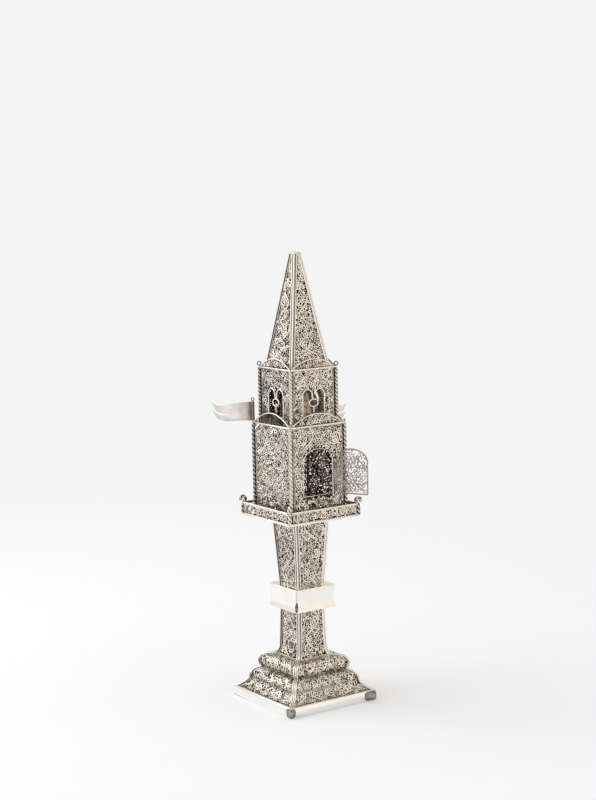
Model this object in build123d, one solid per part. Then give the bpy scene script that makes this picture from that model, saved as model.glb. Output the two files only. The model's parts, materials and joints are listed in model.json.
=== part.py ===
from build123d import *
import math
import os

# A square filigree spice tower: a moulded foot, a stem broken by a plain knop, a railed gallery,
# a spice chamber with an arched door, a windowed bell chamber and a spire.
# Millimetres. Z is up, the foot stands on Z = 0, the tower's axis is Z and the door faces -Y.
# A "half" is half the side of a square, measured square to the side.

# Sheet, wire and clearances
SHEET = 0.8
WIRE_SEAT = 0.03
EDGE_WIRE = 0.45
TRELLIS_BAR = 1.0
TRELLIS_BORDER = 1.3
SMALLEST_GAP = 2.4
RUNNING_CLEARANCE = 0.07
FACE_CLEARANCE = 0.1

# Foot rim and moulded base
FOOT_HALF = 26.5
FOOT_HEIGHT = 5.2
FOOT_WALL = 1.0
BASE_LEDGE = 0.6
COVE_HALF = 20.4
COVE_RISE = 5.0
COVE_SAG = 0.75
LOWER_ROLL_HALF = 16.4
LOWER_ROLL_RISE = 5.6
LOWER_ROLL_CROWN = 1.1
GROOVE_DEPTH = 0.8
GROOVE_RISE = 0.4
UPPER_ROLL_HALF = 15.2
UPPER_ROLL_RISE = 6.4
UPPER_ROLL_CROWN = 1.5
SHOULDER_RISE = 0.8
SHOULDER_WIDTH = 0.8
BASE_SHEET_DROP = 0.5
BASE_BEAD = 0.35
BASE_BAND_BORDER = 0.8
BASE_OPENING_PITCH = 9.4

# Lower stem
LOWER_STEM_FOOT_HALF = 10.2
LOWER_STEM_FLARE_HALF = 8.75
LOWER_STEM_FLARE_HEIGHT = 5.6
LOWER_STEM_FLARE_SAG = 0.45
LOWER_STEM_HEAD_HALF = 8.1
LOWER_STEM_HEIGHT = 26.6

# Knop
KNOP_PLATE = 0.8
KNOP_WALL = 0.7
KNOP_SKIRT_DROP = 1.3
KNOP_SKIRT_HALF = 12.4
KNOP_WAIST_HALF = 11.6
KNOP_SKIRT_HEIGHT = 5.3
KNOP_SKIRT_SAG = 0.25
KNOP_BAND_HALF = 12.1
KNOP_BAND_HEIGHT = 5.7
KNOP_TOP_HALF = 12.3

# Upper stem
UPPER_STEM_FOOT_HALF = 8.3
UPPER_STEM_HEAD_HALF = 10.5
UPPER_STEM_HEIGHT = 35.5

# Gallery
GALLERY_HALF = 21.6
GALLERY_FLOOR = 0.9
FENCE_HEIGHT = 6.1
POST_ACROSS = 1.25
POST_HEIGHT = 6.2
POST_LOOP_RADIUS = 1.25
POST_LOOP_WIRE = 0.6

# Spice chamber
CHAMBER_HALF = 16.6
CHAMBER_HEIGHT = 47.1
COLUMN_ACROSS = 1.2
COLUMN_OUTSET = 0.15
COLUMN_PITCH = 9.2
DOORWAY_HALF = 8.8
DOORWAY_SILL = 12.2
DOORWAY_SPRING = 16.9
DOORWAY_RISE = 6.3
DOORWAY_FRAME = 0.7

# Door, hinge and catch
DOOR_SHEET = 0.7
DOOR_LAP = 0.15
KNUCKLE_RADIUS = 0.7
HINGE_PIN_RADIUS = 0.35
HINGE_PIN_HEAD = 0.6
HINGE_PIN_HEAD_HEIGHT = 0.3
WALL_KNUCKLE_LENGTH = 3.0
KNUCKLE_GAP = 0.12
HINGE_FLANGE = 2.6
HINGE_FLANGE_SHEET = 0.4
HINGE_LIFT = 1.2
DOOR_OPEN_ANGLE = 118.0
PULL_RADIUS = 0.75
PULL_INSET = 1.0
CATCH_BEAD_RADIUS = 0.75
CATCH_BEAD_SPACING = 3.4
CATCH_HEIGHT = 12.0

# Cornices and arched crests
TIER_FLOOR = 0.8
TIER_FLOOR_OVERHANG = 0.75
LOWER_CREST_RISE = 5.9
ROOF_PLATE = 0.8
ROOF_OVERHANG = 0.75
UPPER_CREST_RISE = 4.7
CREST_SHEET = 0.6
CREST_RIM = 0.8
CREST_RIM_PROUD = 0.3

# Pennants and their poles
POLE_RADIUS = 0.45
POLE_HEIGHT = 10.4
POLE_STUB_HEIGHT = 1.5
POLE_LOOP_RADIUS = 0.75
POLE_LOOP_WIRE = 0.25
PENNANT_LENGTH = 21.0
PENNANT_HEIGHT = 9.7
PENNANT_SHEET = 0.4
PENNANT_WAVE = 1.1
PENNANT_TUBE_WALL = 0.4
PENNANT_LIFT = 0.35
LEFT_PENNANT_HEADING = 145.5
BACK_PENNANT_HEADING = -34.5

# Bell chamber
BELL_CHAMBER_SETBACK = 2.8
BELL_CHAMBER_HEIGHT = 27.6
UPPER_COLUMN_ACROSS = 1.1
UPPER_COLUMN_OUTSET = 0.2
UPPER_LOOP_RADIUS = 0.95
UPPER_LOOP_WIRE = 0.33
WINDOW_HALF = 2.95
WINDOW_CENTRE = 3.7
WINDOW_SILL = 3.0
WINDOW_SPRING = 14.8
TRACERY_BAR = 0.8
TRACERY_DEPTH = 0.7
TRACERY_RING_RADIUS = 2.6
TRACERY_RING_WIRE = 0.6
TRACERY_RING_DROP = 4.3

# Bell and clapper
STAPLE_HALF = 1.4
STAPLE_WIRE = 0.4
STAPLE_DROP = 4.4
BELL_LOOP_RADIUS = 1.5
BELL_LOOP_WIRE = 0.35
BELL_LOOP_CLEARANCE = 0.15
BELL_MOUTH_RADIUS = 9.8
BELL_CROWN_RADIUS = 1.8
BELL_SHOULDER_RADIUS = 4.2
BELL_SHOULDER_DROP = 2.2
BELL_HEIGHT = 18.0
BELL_WALL = 0.7
BELL_WAIST_SAG = 0.7
BELL_SHOULDER_SAG = 0.45
CROSSBAR_RADIUS = 0.35
CROSSBAR_DROP = 3.4
CLAPPER_EYE_RADIUS = 0.95
CLAPPER_EYE_LENGTH = 1.4
CLAPPER_ROD_RADIUS = 0.35
CLAPPER_BALL_RADIUS = 1.3
CLAPPER_BALL_DROP = 12.0

# Spire
SPIRE_FOOT_HALF = 11.7
SPIRE_HEAD_HALF = 2.2
SPIRE_HEIGHT = 56.4
SPIRE_CAP_HALF = 2.6
SPIRE_CAP_TOP_HALF = 1.9
SPIRE_CAP_HEIGHT = 1.2

# Trellis openings, across and up
STEM_TRELLIS = (10.4, 12.8)
FENCE_TRELLIS = (9.0, 6.4)
WALL_TRELLIS = (13.0, 14.0)
DOOR_TRELLIS = (7.4, 8.6)
BELL_TRELLIS = (9.0, 9.6)
SPIRE_TRELLIS = (10.4, 14.2)

# Facets of small round work
ARC_CHORDS = 3
ARCH_CHORDS = 8
WINDOW_CHORDS = 6
TWIST_STEPS = 4
LOOP_SIDES = 6
WIRE_SIDES = 6
KNUCKLE_SIDES = 8
BELL_SIDES = 12
BEAD_SIDES = 8
BEAD_ANGLES = (-53, -15, 20, 50, 78)
HALF_TURN = 180

# Heights, stacked from the foot
Z_FOOT = FOOT_HEIGHT
Z_COVE = Z_FOOT + COVE_RISE
Z_LOWER_ROLL = Z_COVE + LOWER_ROLL_RISE
Z_GROOVE = Z_LOWER_ROLL + GROOVE_RISE
Z_UPPER_ROLL = Z_GROOVE + UPPER_ROLL_RISE
Z_BASE = Z_UPPER_ROLL + SHOULDER_RISE
Z_LOWER_STEM = Z_BASE + LOWER_STEM_HEIGHT
Z_SKIRT_FOOT = Z_LOWER_STEM - KNOP_SKIRT_DROP
Z_KNOP_WAIST = Z_SKIRT_FOOT + KNOP_SKIRT_HEIGHT
Z_KNOP_BAND = Z_KNOP_WAIST + KNOP_BAND_HEIGHT
Z_KNOP = Z_KNOP_BAND + KNOP_PLATE
Z_UPPER_STEM = Z_KNOP + UPPER_STEM_HEIGHT
Z_GALLERY = Z_UPPER_STEM + GALLERY_FLOOR
Z_FENCE = Z_GALLERY + FENCE_HEIGHT
Z_CHAMBER = Z_GALLERY + CHAMBER_HEIGHT
Z_TIER_FLOOR = Z_CHAMBER + TIER_FLOOR
Z_BELL_CHAMBER = Z_TIER_FLOOR + BELL_CHAMBER_HEIGHT
Z_ROOF = Z_BELL_CHAMBER + ROOF_PLATE
Z_SPIRE = Z_ROOF + SPIRE_HEIGHT
Z_SILL = Z_GALLERY + DOORWAY_SILL
Z_SPRING = Z_SILL + DOORWAY_SPRING
Z_STAPLE = Z_BELL_CHAMBER - STAPLE_DROP

# Corner places and the room that panels leave for what stands there
COLUMN_CENTRE = CHAMBER_HALF + COLUMN_OUTSET
BELL_CHAMBER_HALF = CHAMBER_HALF - BELL_CHAMBER_SETBACK
UPPER_COLUMN_CENTRE = BELL_CHAMBER_HALF + UPPER_COLUMN_OUTSET
POST_CENTRE = GALLERY_HALF - SHEET / 2


def bar_gap(across):
    """Room along a wall, from the corner's diagonal, for a twisted square bar."""
    return across + WIRE_SEAT * math.sqrt(2)


CORNER_WIRE_GAP = (EDGE_WIRE + WIRE_SEAT) * math.sqrt(2)
SIDES = ("front", "right", "back", "left")
CORNERS = ("front_left", "front_right", "back_right", "back_left")


def corner_turn(corner):
    """The heading from the axis to a corner, in degrees from +X."""
    return 225 + 90 * CORNERS.index(corner)


def corner_place(half, corner, z=0.0):
    """A point over one corner of a square of that half side."""
    angle = math.radians(corner_turn(corner))
    reach = half * math.sqrt(2)
    return Pos(reach * math.cos(angle), reach * math.sin(angle), z)


def strip(outline, shift):
    """A closed face between a line of edges and its copy moved by shift, in the plane of the line."""
    inner = Pos(*shift) * outline
    return make_face(outline + inner + Line(outline @ 0, inner @ 0) + Line(outline @ 1, inner @ 1))


def front_mitre(half, corner_gap, z_low, z_high):
    """The space in front of the axis between the two corner diagonals, less the corner gaps."""
    plan = Polyline((0, -corner_gap), (half, -corner_gap - half), (-half, -corner_gap - half), close=True)
    return extrude(Pos(0, 0, z_low) * make_face(plan), z_high - z_low)


def front_strip(section, half, corner_gap, z_low, z_high):
    """A section in (y, z), carried along the front side and mitred at both corners."""
    bar = extrude(Plane.YZ * section, half, both=True)
    return bar & front_mitre(half * 2, corner_gap, z_low, z_high)


def flat_section(half, z_low, z_high, thickness=SHEET):
    """The section of an upright sheet whose outer face is at half."""
    line = Line((-half, z_low), (-half, z_high))
    return strip(line, (thickness, 0))


def leaning_section(foot_half, head_half, z_low, z_high):
    """The section of a sheet that leans from foot_half to head_half."""
    return strip(Line((-foot_half, z_low), (-head_half, z_high)), (SHEET, 0))


def diamond(wide, tall):
    """A diamond of that width and height about the origin."""
    return make_face(
        Polyline((wide / 2, 0), (0, tall / 2), (-wide / 2, 0), (0, -tall / 2), close=True)
    )


def trellis(field, size):
    """Diamond openings over a flat field, clipped to it, without the slivers at its edge."""
    wide, tall = size
    box = field.bounding_box()
    across = math.ceil(box.size.X / wide / 2) + 1
    up = math.ceil(box.size.Y / tall / 2) + 1
    opening = diamond(wide - TRELLIS_BAR, tall - TRELLIS_BAR * tall / wide)
    middle = box.center()
    openings = []
    for row in range(-2 * up, 2 * up + 1):
        for column in range(-across, across + 1):
            x = (column + (row % 2) / 2) * wide
            cell = Pos(middle.X + x, middle.Y + row * tall / 2) * opening
            for face in (cell & field).faces():
                if face.area > SMALLEST_GAP**2:
                    openings.append(face)
    return openings


def pierce_front(panel, openings, depth):
    """Cuts openings drawn in (x, z) through a front panel, along Y."""
    return panel - [extrude(Plane.XZ * face, depth) for face in openings]


def trellis_field(foot_half, head_half, z_low, z_high):
    """The field inside a panel's border, as a face in (x, z)."""
    low = z_low + TRELLIS_BORDER
    high = z_high - TRELLIS_BORDER
    lean = (head_half - foot_half) / (z_high - z_low)
    foot = foot_half + lean * TRELLIS_BORDER - TRELLIS_BORDER
    head = head_half - lean * TRELLIS_BORDER - TRELLIS_BORDER
    return make_face(Polyline((-foot, low), (foot, low), (head, high), (-head, high), close=True))


def four_sides(name, front):
    """The same panel on each side of the tower, as four named nodes."""
    return {f"{name}_{side}": Rot(0, 0, 90 * turn) * front for turn, side in enumerate(SIDES)}


def four_corners(piece):
    """Four copies of a piece, turned about the axis."""
    return Compound([Rot(0, 0, 90 * turn) * piece for turn in range(4)])


def chorded(arc, count=ARC_CHORDS):
    """An arc as straight chords, all equally long."""
    return Polyline(*[arc @ (step / count) for step in range(count + 1)])


def chords(start, end, sag, count=ARC_CHORDS):
    """Straight chords along an arc that rises by sag to the left of the line from start to end."""
    return chorded(SagittaArc(start, end, sag), count)


def facets(polygons):
    """A closed solid from flat polygons that face outwards."""
    return Solid(Shell([Face(Wire.make_polygon(points)) for points in polygons]))


def ring_points(radius, z, sides, turn=0.0):
    """The corners of a level regular polygon, counter-clockwise."""
    angles = [turn + 2 * math.pi * side / sides for side in range(sides)]
    return [(radius * math.cos(angle), radius * math.sin(angle), z) for angle in angles]


def turned(profile, sides):
    """A faceted turned piece about Z through points (radius, z), from its foot to its head."""
    rings = [ring_points(radius, z, sides) for radius, z in profile]
    skin = [rings[0][::-1], rings[-1]]
    for low, high in zip(rings, rings[1:]):
        for side in range(sides):
            following = (side + 1) % sides
            skin.append([low[side], low[following], high[following], high[side]])
    return facets(skin)


def twisted_bar(across, height, pitch):
    """A square bar twisted left-handed about its own axis in flat facets, standing on Z = 0."""
    steps = math.ceil(height / pitch * TWIST_STEPS)
    turn = -2 * math.pi * height / pitch / steps
    radius = across / math.sqrt(2)
    rings = [ring_points(radius, height * step / steps, 4, turn * step) for step in range(steps + 1)]
    skin = [rings[0][::-1], rings[-1]]
    for low, high in zip(rings, rings[1:]):
        for side in range(4):
            following = (side + 1) % 4
            skin.append([low[side], low[following], high[following]])
            skin.append([low[side], high[following], high[side]])
    return facets(skin)


def wire_ring(radius, wire):
    """A ring of flattened wire standing on Z = 0 with its axis along Y."""
    outer = RegularPolygon(radius + wire, LOOP_SIDES, major_radius=False, rotation=-90 - 180 / LOOP_SIDES)
    inner = RegularPolygon(radius - wire, LOOP_SIDES, major_radius=False, rotation=-90 - 180 / LOOP_SIDES)
    return Pos(0, wire, radius + wire) * extrude(Plane.XZ * (outer - inner), 2 * wire)


def bead(radius):
    """A soldered bead standing on Z = 0, flattened where it meets the sheet."""
    angles = [math.radians(angle) for angle in BEAD_ANGLES]
    foot = math.sin(angles[0])
    profile = [(radius * math.cos(angle), radius * (math.sin(angle) - foot)) for angle in angles]
    return turned(profile, BEAD_SIDES)


def leaning_wire(foot_half, head_half, z_low, z_high):
    """A round wire up the front-left corner of a leaning box, cut off level at both ends."""
    foot = foot_half - EDGE_WIRE
    head = head_half - EDGE_WIRE
    lean = (head - foot) / (z_high - z_low)
    low = Vector(-foot + lean * SHEET, -foot + lean * SHEET, z_low - SHEET)
    high = Vector(-head - lean * SHEET, -head - lean * SHEET, z_high + SHEET)
    axis = Line(low, high)
    rod = sweep(Plane(low, z_dir=high - low) * RegularPolygon(EDGE_WIRE, WIRE_SIDES), axis)
    reach = 4 * max(foot_half, head_half)
    level = Pos(0, 0, (z_low + z_high) / 2) * Box(reach, reach, z_high - z_low)
    return rod & level


def foot_rim():
    """Plain strips round the foot, mitred and soldered into one ring."""
    section = flat_section(FOOT_HALF, 0, FOOT_HEIGHT, FOOT_WALL)
    return square_ring(section, FOOT_HALF, 0, FOOT_HEIGHT)


def base_outline():
    """The base's moulding in (y, z): cove, roll, groove, second roll, shoulder and stem seat."""
    toe = (-(FOOT_HALF - BASE_LEDGE), Z_FOOT)
    cove = (-COVE_HALF, Z_COVE)
    lower_roll = (-LOWER_ROLL_HALF, Z_LOWER_ROLL)
    groove = (-(LOWER_ROLL_HALF - GROOVE_DEPTH), Z_GROOVE)
    upper_roll = (-UPPER_ROLL_HALF, Z_UPPER_ROLL)
    shoulder = (-(LOWER_STEM_FOOT_HALF + SHOULDER_WIDTH), Z_BASE)
    seat = (-(LOWER_STEM_FOOT_HALF - 2 * SHEET), Z_BASE)
    return (
        chords(toe, cove, COVE_SAG)
        + chords(cove, lower_roll, -LOWER_ROLL_CROWN)
        + Line(lower_roll, groove)
        + chords(groove, upper_roll, -UPPER_ROLL_CROWN)
        + Line(upper_roll, shoulder)
        + Line(shoulder, seat)
    )


def band_openings(half, z_low, z_high):
    """A row of diamond openings along one band of the base, as faces in (x, z)."""
    room = half - CORNER_WIRE_GAP - BASE_BAND_BORDER
    count = math.floor(2 * room / BASE_OPENING_PITCH)
    opening = diamond(BASE_OPENING_PITCH - TRELLIS_BAR, z_high - z_low - 2 * BASE_BAND_BORDER)
    first = -(count - 1) / 2 * BASE_OPENING_PITCH
    middle = (z_low + z_high) / 2
    return [Pos(first + place * BASE_OPENING_PITCH, middle) * opening for place in range(count)]


def base_panel():
    """One moulded side of the base, with openings in its cove and its two rolls."""
    section = strip(base_outline(), (SHEET, -BASE_SHEET_DROP))
    panel = front_strip(section, FOOT_HALF, CORNER_WIRE_GAP, Z_FOOT, Z_BASE)
    openings = (
        band_openings(COVE_HALF, Z_FOOT, Z_COVE)
        + band_openings(LOWER_ROLL_HALF, Z_COVE, Z_LOWER_ROLL)
        + band_openings(UPPER_ROLL_HALF, Z_GROOVE, Z_UPPER_ROLL)
    )
    return pierce_front(panel, openings, 2 * FOOT_HALF)


def base_corner_wire():
    """The bead down one mitre of the base, between the front panel and the left panel."""
    section = strip(Pos(-BASE_BEAD, 0) * base_outline(), (SHEET + BASE_BEAD, -BASE_SHEET_DROP))
    side = front_strip(section, FOOT_HALF, 0, Z_FOOT, Z_BASE)
    middle = front_mitre(4 * FOOT_HALF, CORNER_WIRE_GAP - WIRE_SEAT, 0, Z_BASE)
    flank = side - middle
    left_end = flank & Pos(-FOOT_HALF, 0, 0) * Box(2 * FOOT_HALF, 4 * FOOT_HALF, 2 * Z_BASE)
    return left_end + mirror(left_end, Plane((0, 0, 0), z_dir=(1, -1, 0)))


def lower_stem_outline(proud=0.0):
    """The lower stem's face in (y, z): a flared foot running into a straight taper."""
    foot = (-(LOWER_STEM_FOOT_HALF + proud), Z_BASE)
    flare = (-(LOWER_STEM_FLARE_HALF + proud), Z_BASE + LOWER_STEM_FLARE_HEIGHT)
    head = (-(LOWER_STEM_HEAD_HALF + proud), Z_LOWER_STEM)
    return chords(foot, flare, LOWER_STEM_FLARE_SAG) + Line(flare, head)


def lower_stem_panel():
    """One filigree side of the lower stem."""
    section = strip(lower_stem_outline(), (SHEET, 0))
    panel = front_strip(section, LOWER_STEM_FOOT_HALF, CORNER_WIRE_GAP, Z_BASE, Z_LOWER_STEM)
    field = trellis_field(
        LOWER_STEM_FLARE_HALF - CORNER_WIRE_GAP,
        LOWER_STEM_HEAD_HALF - CORNER_WIRE_GAP,
        Z_BASE + LOWER_STEM_FLARE_HEIGHT / 2,
        Z_SKIRT_FOOT,
    )
    return pierce_front(panel, trellis(field, STEM_TRELLIS), 2 * LOWER_STEM_FOOT_HALF)


def lower_stem_corner_wire():
    """The bead up one corner of the lower stem, flared with it."""
    proud = BASE_BEAD
    section = strip(lower_stem_outline(proud), (SHEET + proud, 0))
    side = front_strip(section, 2 * LOWER_STEM_FOOT_HALF, 0, Z_BASE, Z_LOWER_STEM)
    middle = front_mitre(4 * LOWER_STEM_FOOT_HALF, CORNER_WIRE_GAP - WIRE_SEAT, 0, Z_LOWER_STEM)
    flank = side - middle
    reach = 4 * LOWER_STEM_FOOT_HALF
    left_end = flank & Pos(-reach / 2, 0, 0) * Box(reach, 2 * reach, 2 * Z_LOWER_STEM)
    return left_end + mirror(left_end, Plane((0, 0, 0), z_dir=(1, -1, 0)))


def square_ring(section, half, z_low, z_high):
    """A section in (y, z), carried round all four sides as one mitred ring."""
    side = front_strip(section, half, 0, z_low, z_high)
    ring = side
    for turn in (90, 180, 270):
        ring = ring + Rot(0, 0, turn) * side
    return ring


def square_plate(half, z_low, thickness):
    """A level square plate."""
    return Pos(0, 0, z_low + thickness / 2) * Box(2 * half, 2 * half, thickness)


def knop_skirt():
    """The knop's lower band, flared towards its foot."""
    outline = chords(
        (-KNOP_SKIRT_HALF, Z_SKIRT_FOOT), (-KNOP_WAIST_HALF, Z_KNOP_WAIST), KNOP_SKIRT_SAG
    )
    return square_ring(strip(outline, (KNOP_WALL, 0)), KNOP_SKIRT_HALF, Z_SKIRT_FOOT, Z_KNOP_WAIST)


def knop_band():
    """The knop's upper band, drawn in a little towards the skirt."""
    outline = Line((-KNOP_WAIST_HALF, Z_KNOP_WAIST), (-KNOP_BAND_HALF, Z_KNOP_BAND))
    return square_ring(strip(outline, (KNOP_WALL, 0)), KNOP_BAND_HALF, Z_KNOP_WAIST, Z_KNOP_BAND)


def knop_parts():
    """The knop's skirt, band, top plate and the hidden plate that the lower stem meets."""
    inside = KNOP_WAIST_HALF - KNOP_WALL
    return {
        "knop_skirt": knop_skirt(),
        "knop_band": knop_band(),
        "knop_top_plate": square_plate(KNOP_TOP_HALF, Z_KNOP_BAND, KNOP_PLATE),
        "knop_inner_plate": square_plate(inside, Z_LOWER_STEM, KNOP_PLATE),
    }


def upper_stem_panel():
    """One filigree side of the upper stem, which widens towards the gallery."""
    section = leaning_section(UPPER_STEM_FOOT_HALF, UPPER_STEM_HEAD_HALF, Z_KNOP, Z_UPPER_STEM)
    panel = front_strip(section, UPPER_STEM_HEAD_HALF, CORNER_WIRE_GAP, Z_KNOP, Z_UPPER_STEM)
    field = trellis_field(
        UPPER_STEM_FOOT_HALF - CORNER_WIRE_GAP,
        UPPER_STEM_HEAD_HALF - CORNER_WIRE_GAP,
        Z_KNOP,
        Z_UPPER_STEM,
    )
    return pierce_front(panel, trellis(field, STEM_TRELLIS), 2 * UPPER_STEM_HEAD_HALF)


def gallery_fence():
    """One side of the gallery's railing."""
    gap = bar_gap(POST_ACROSS)
    section = flat_section(GALLERY_HALF, Z_GALLERY, Z_FENCE)
    panel = front_strip(section, GALLERY_HALF, gap, Z_GALLERY, Z_FENCE)
    width = GALLERY_HALF - SHEET - gap
    field = trellis_field(width, width, Z_GALLERY, Z_FENCE)
    return pierce_front(panel, trellis(field, FENCE_TRELLIS), 2 * GALLERY_HALF)


def gallery_post(corner):
    """A twisted post whose wire ends in a loop, standing on the gallery floor."""
    post = twisted_bar(POST_ACROSS, POST_HEIGHT, COLUMN_PITCH)
    loop = Pos(0, 0, POST_HEIGHT) * wire_ring(POST_LOOP_RADIUS, POST_LOOP_WIRE)
    return corner_place(POST_CENTRE, corner, Z_GALLERY) * Rot(0, 0, corner_turn(corner)) * (post + loop)


def arched_face(half, z_low, z_spring, rise):
    """An upright opening with a depressed arch, as a face in (x, z)."""
    arch = EllipticalCenterArc((0, z_spring), half, rise, arc_size=HALF_TURN)
    jambs = Polyline((-half, z_spring), (-half, z_low), (half, z_low), (half, z_spring))
    return make_face(chorded(arch, ARCH_CHORDS) + jambs)


def chamber_wall():
    """A closed side of the spice chamber."""
    gap = bar_gap(COLUMN_ACROSS)
    section = flat_section(CHAMBER_HALF, Z_GALLERY, Z_CHAMBER)
    return front_strip(section, CHAMBER_HALF, gap, Z_GALLERY, Z_CHAMBER)


def chamber_field():
    """The field of a spice chamber side, inside its border."""
    width = CHAMBER_HALF - SHEET - bar_gap(COLUMN_ACROSS)
    return trellis_field(width, width, Z_GALLERY, Z_CHAMBER)


def pierced_chamber_wall():
    """A closed side of the spice chamber with its trellis."""
    return pierce_front(chamber_wall(), trellis(chamber_field(), WALL_TRELLIS), 2 * CHAMBER_HALF)


def doorway_outline(margin):
    """The doorway, grown by margin on every side."""
    return arched_face(DOORWAY_HALF + margin, Z_SILL - margin, Z_SPRING, DOORWAY_RISE + margin)


def front_wall():
    """The door side of the spice chamber, cut for the doorway's frame, with trellis round it."""
    field = chamber_field() - doorway_outline(DOORWAY_FRAME + TRELLIS_BORDER)
    openings = [doorway_outline(DOORWAY_FRAME)] + trellis(field, WALL_TRELLIS)
    return pierce_front(chamber_wall(), openings, 2 * CHAMBER_HALF)


def doorway_frame():
    """The flat wire that lines the doorway."""
    face = doorway_outline(DOORWAY_FRAME) - doorway_outline(0)
    return Pos(0, -CHAMBER_HALF + SHEET, 0) * extrude(Plane.XZ * face, SHEET)


HINGE_X = DOORWAY_HALF + DOOR_LAP + FACE_CLEARANCE + KNUCKLE_RADIUS
HINGE_Y = -(CHAMBER_HALF + KNUCKLE_RADIUS + FACE_CLEARANCE)
HINGE_FOOT = Z_SILL + HINGE_LIFT
HINGE_HEAD = Z_SPRING - HINGE_LIFT
DOOR_OUTER_Y = -(CHAMBER_HALF + FACE_CLEARANCE + DOOR_SHEET)


def knuckle(z_low, z_high, bore):
    """A rolled hinge knuckle about the hinge's axis."""
    height = z_high - z_low
    roll = extrude(RegularPolygon(KNUCKLE_RADIUS, KNUCKLE_SIDES), height)
    tube = roll - Pos(0, 0, height / 2) * Cylinder(bore, 2 * height)
    return Pos(HINGE_X, HINGE_Y, z_low) * tube


def wall_knuckle(z_low):
    """A fixed knuckle with the flange that holds it to the wall."""
    bore = HINGE_PIN_RADIUS + WIRE_SEAT
    roll = knuckle(z_low, z_low + WALL_KNUCKLE_LENGTH, bore)
    flange = Pos(HINGE_X, -CHAMBER_HALF, z_low) * Box(
        HINGE_FLANGE, HINGE_FLANGE_SHEET, WALL_KNUCKLE_LENGTH, align=(Align.MIN, Align.MAX, Align.MIN)
    )
    return roll + flange


def hinge_knuckles():
    """The two fixed knuckles, at the foot and the head of the hinge."""
    return Compound([wall_knuckle(HINGE_FOOT), wall_knuckle(HINGE_HEAD - WALL_KNUCKLE_LENGTH)])


def hinge_pin():
    """The hinge pin, headed at both ends."""
    length = HINGE_HEAD - HINGE_FOOT + 2 * KNUCKLE_GAP
    shank = Pos(0, 0, length / 2) * Cylinder(HINGE_PIN_RADIUS, length)
    head = extrude(RegularPolygon(HINGE_PIN_HEAD, KNUCKLE_SIDES), HINGE_PIN_HEAD_HEIGHT)
    ends = [Pos(0, 0, -HINGE_PIN_HEAD_HEIGHT) * head, Pos(0, 0, length) * head]
    return Pos(HINGE_X, HINGE_Y, HINGE_FOOT - KNUCKLE_GAP) * (shank + ends)


def hung(piece):
    """Turns a piece drawn on the shut door to where the open door stands."""
    axis = Pos(HINGE_X, HINGE_Y, 0)
    return axis * Rot(0, 0, DOOR_OPEN_ANGLE) * axis.inverse() * piece


def door_leaf():
    """The pierced leaf with its rolled knuckle, standing open."""
    outline = doorway_outline(DOOR_LAP)
    field = doorway_outline(DOOR_LAP - TRELLIS_BORDER)
    leaf = Pos(0, DOOR_OUTER_Y + DOOR_SHEET, 0) * extrude(Plane.XZ * outline, DOOR_SHEET)
    leaf = pierce_front(leaf, trellis(field, DOOR_TRELLIS), 2 * CHAMBER_HALF)
    low = HINGE_FOOT + WALL_KNUCKLE_LENGTH + KNUCKLE_GAP
    high = HINGE_HEAD - WALL_KNUCKLE_LENGTH - KNUCKLE_GAP
    tongue_end = DOORWAY_HALF + DOOR_LAP
    tongue = Pos(tongue_end, DOOR_OUTER_Y, low) * Box(
        HINGE_X - tongue_end, DOOR_SHEET, high - low, align=(Align.MIN, Align.MIN, Align.MIN)
    )
    bore = HINGE_PIN_RADIUS + RUNNING_CLEARANCE
    roll = knuckle(low, high, bore)
    tongue = tongue - Pos(HINGE_X, HINGE_Y, (low + high) / 2) * Cylinder(bore, 2 * (high - low))
    return hung(leaf + tongue + roll)


def door_pull():
    """The bead by which the door is pulled open, on the leaf's free edge."""
    x = -(DOORWAY_HALF + DOOR_LAP) + PULL_INSET
    place = Pos(x, DOOR_OUTER_Y, Z_SILL + CATCH_HEIGHT) * Rot(90, 0, 0)
    return hung(place * bead(PULL_RADIUS))


def door_catch():
    """Two beads beside the doorway that hold the shut door's edge."""
    x = -(DOORWAY_HALF + DOOR_LAP + CATCH_BEAD_RADIUS + 3 * FACE_CLEARANCE)
    beads = []
    for end in (-1, 1):
        z = Z_SILL + CATCH_HEIGHT + end * CATCH_BEAD_SPACING / 2
        beads.append(Pos(x, -CHAMBER_HALF, z) * Rot(90, 0, 0) * bead(CATCH_BEAD_RADIUS))
    return Compound(beads)


def columns(across, centre, z_low, height):
    """Four twisted corner columns."""
    bar = twisted_bar(across, height, COLUMN_PITCH)
    return Compound([corner_place(centre, corner, z_low) * bar for corner in CORNERS])


def crest(half, gap, z_low, rise):
    """One arched crest standing on a cornice, with a heavier wire round its arch."""
    chord = half - gap
    arch = chords((-chord, z_low), (chord, z_low), rise, ARCH_CHORDS)
    field = make_face(arch + Line((chord, z_low), (-chord, z_low)))
    lunette = chord - 2 * CREST_RIM
    inner = chords((-lunette, z_low), (lunette, z_low), rise - CREST_RIM, ARCH_CHORDS)
    opening = make_face(inner + Line((lunette, z_low), (-lunette, z_low)))
    sheet = Pos(0, -half + CREST_SHEET, 0) * extrude(Plane.XZ * field, CREST_SHEET)
    rim = Pos(0, -half, 0) * extrude(Plane.XZ * (field - opening), CREST_RIM_PROUD)
    return sheet + rim


def pennant_pole(corner):
    """A round pole over one corner of the chamber, its wire ending in a loop."""
    pole = Pos(0, 0, POLE_HEIGHT / 2) * Cylinder(POLE_RADIUS, POLE_HEIGHT)
    pole += Pos(0, 0, POLE_HEIGHT) * wire_ring(POLE_LOOP_RADIUS, POLE_LOOP_WIRE)
    return corner_place(COLUMN_CENTRE, corner, Z_TIER_FLOOR) * Rot(0, 0, corner_turn(corner)) * pole


def pole_stub(corner):
    """What is left of a pole whose pennant is lost."""
    stub = extrude(RegularPolygon(POLE_RADIUS, WIRE_SIDES), POLE_STUB_HEIGHT)
    return corner_place(COLUMN_CENTRE, corner, Z_TIER_FLOOR) * stub


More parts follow.
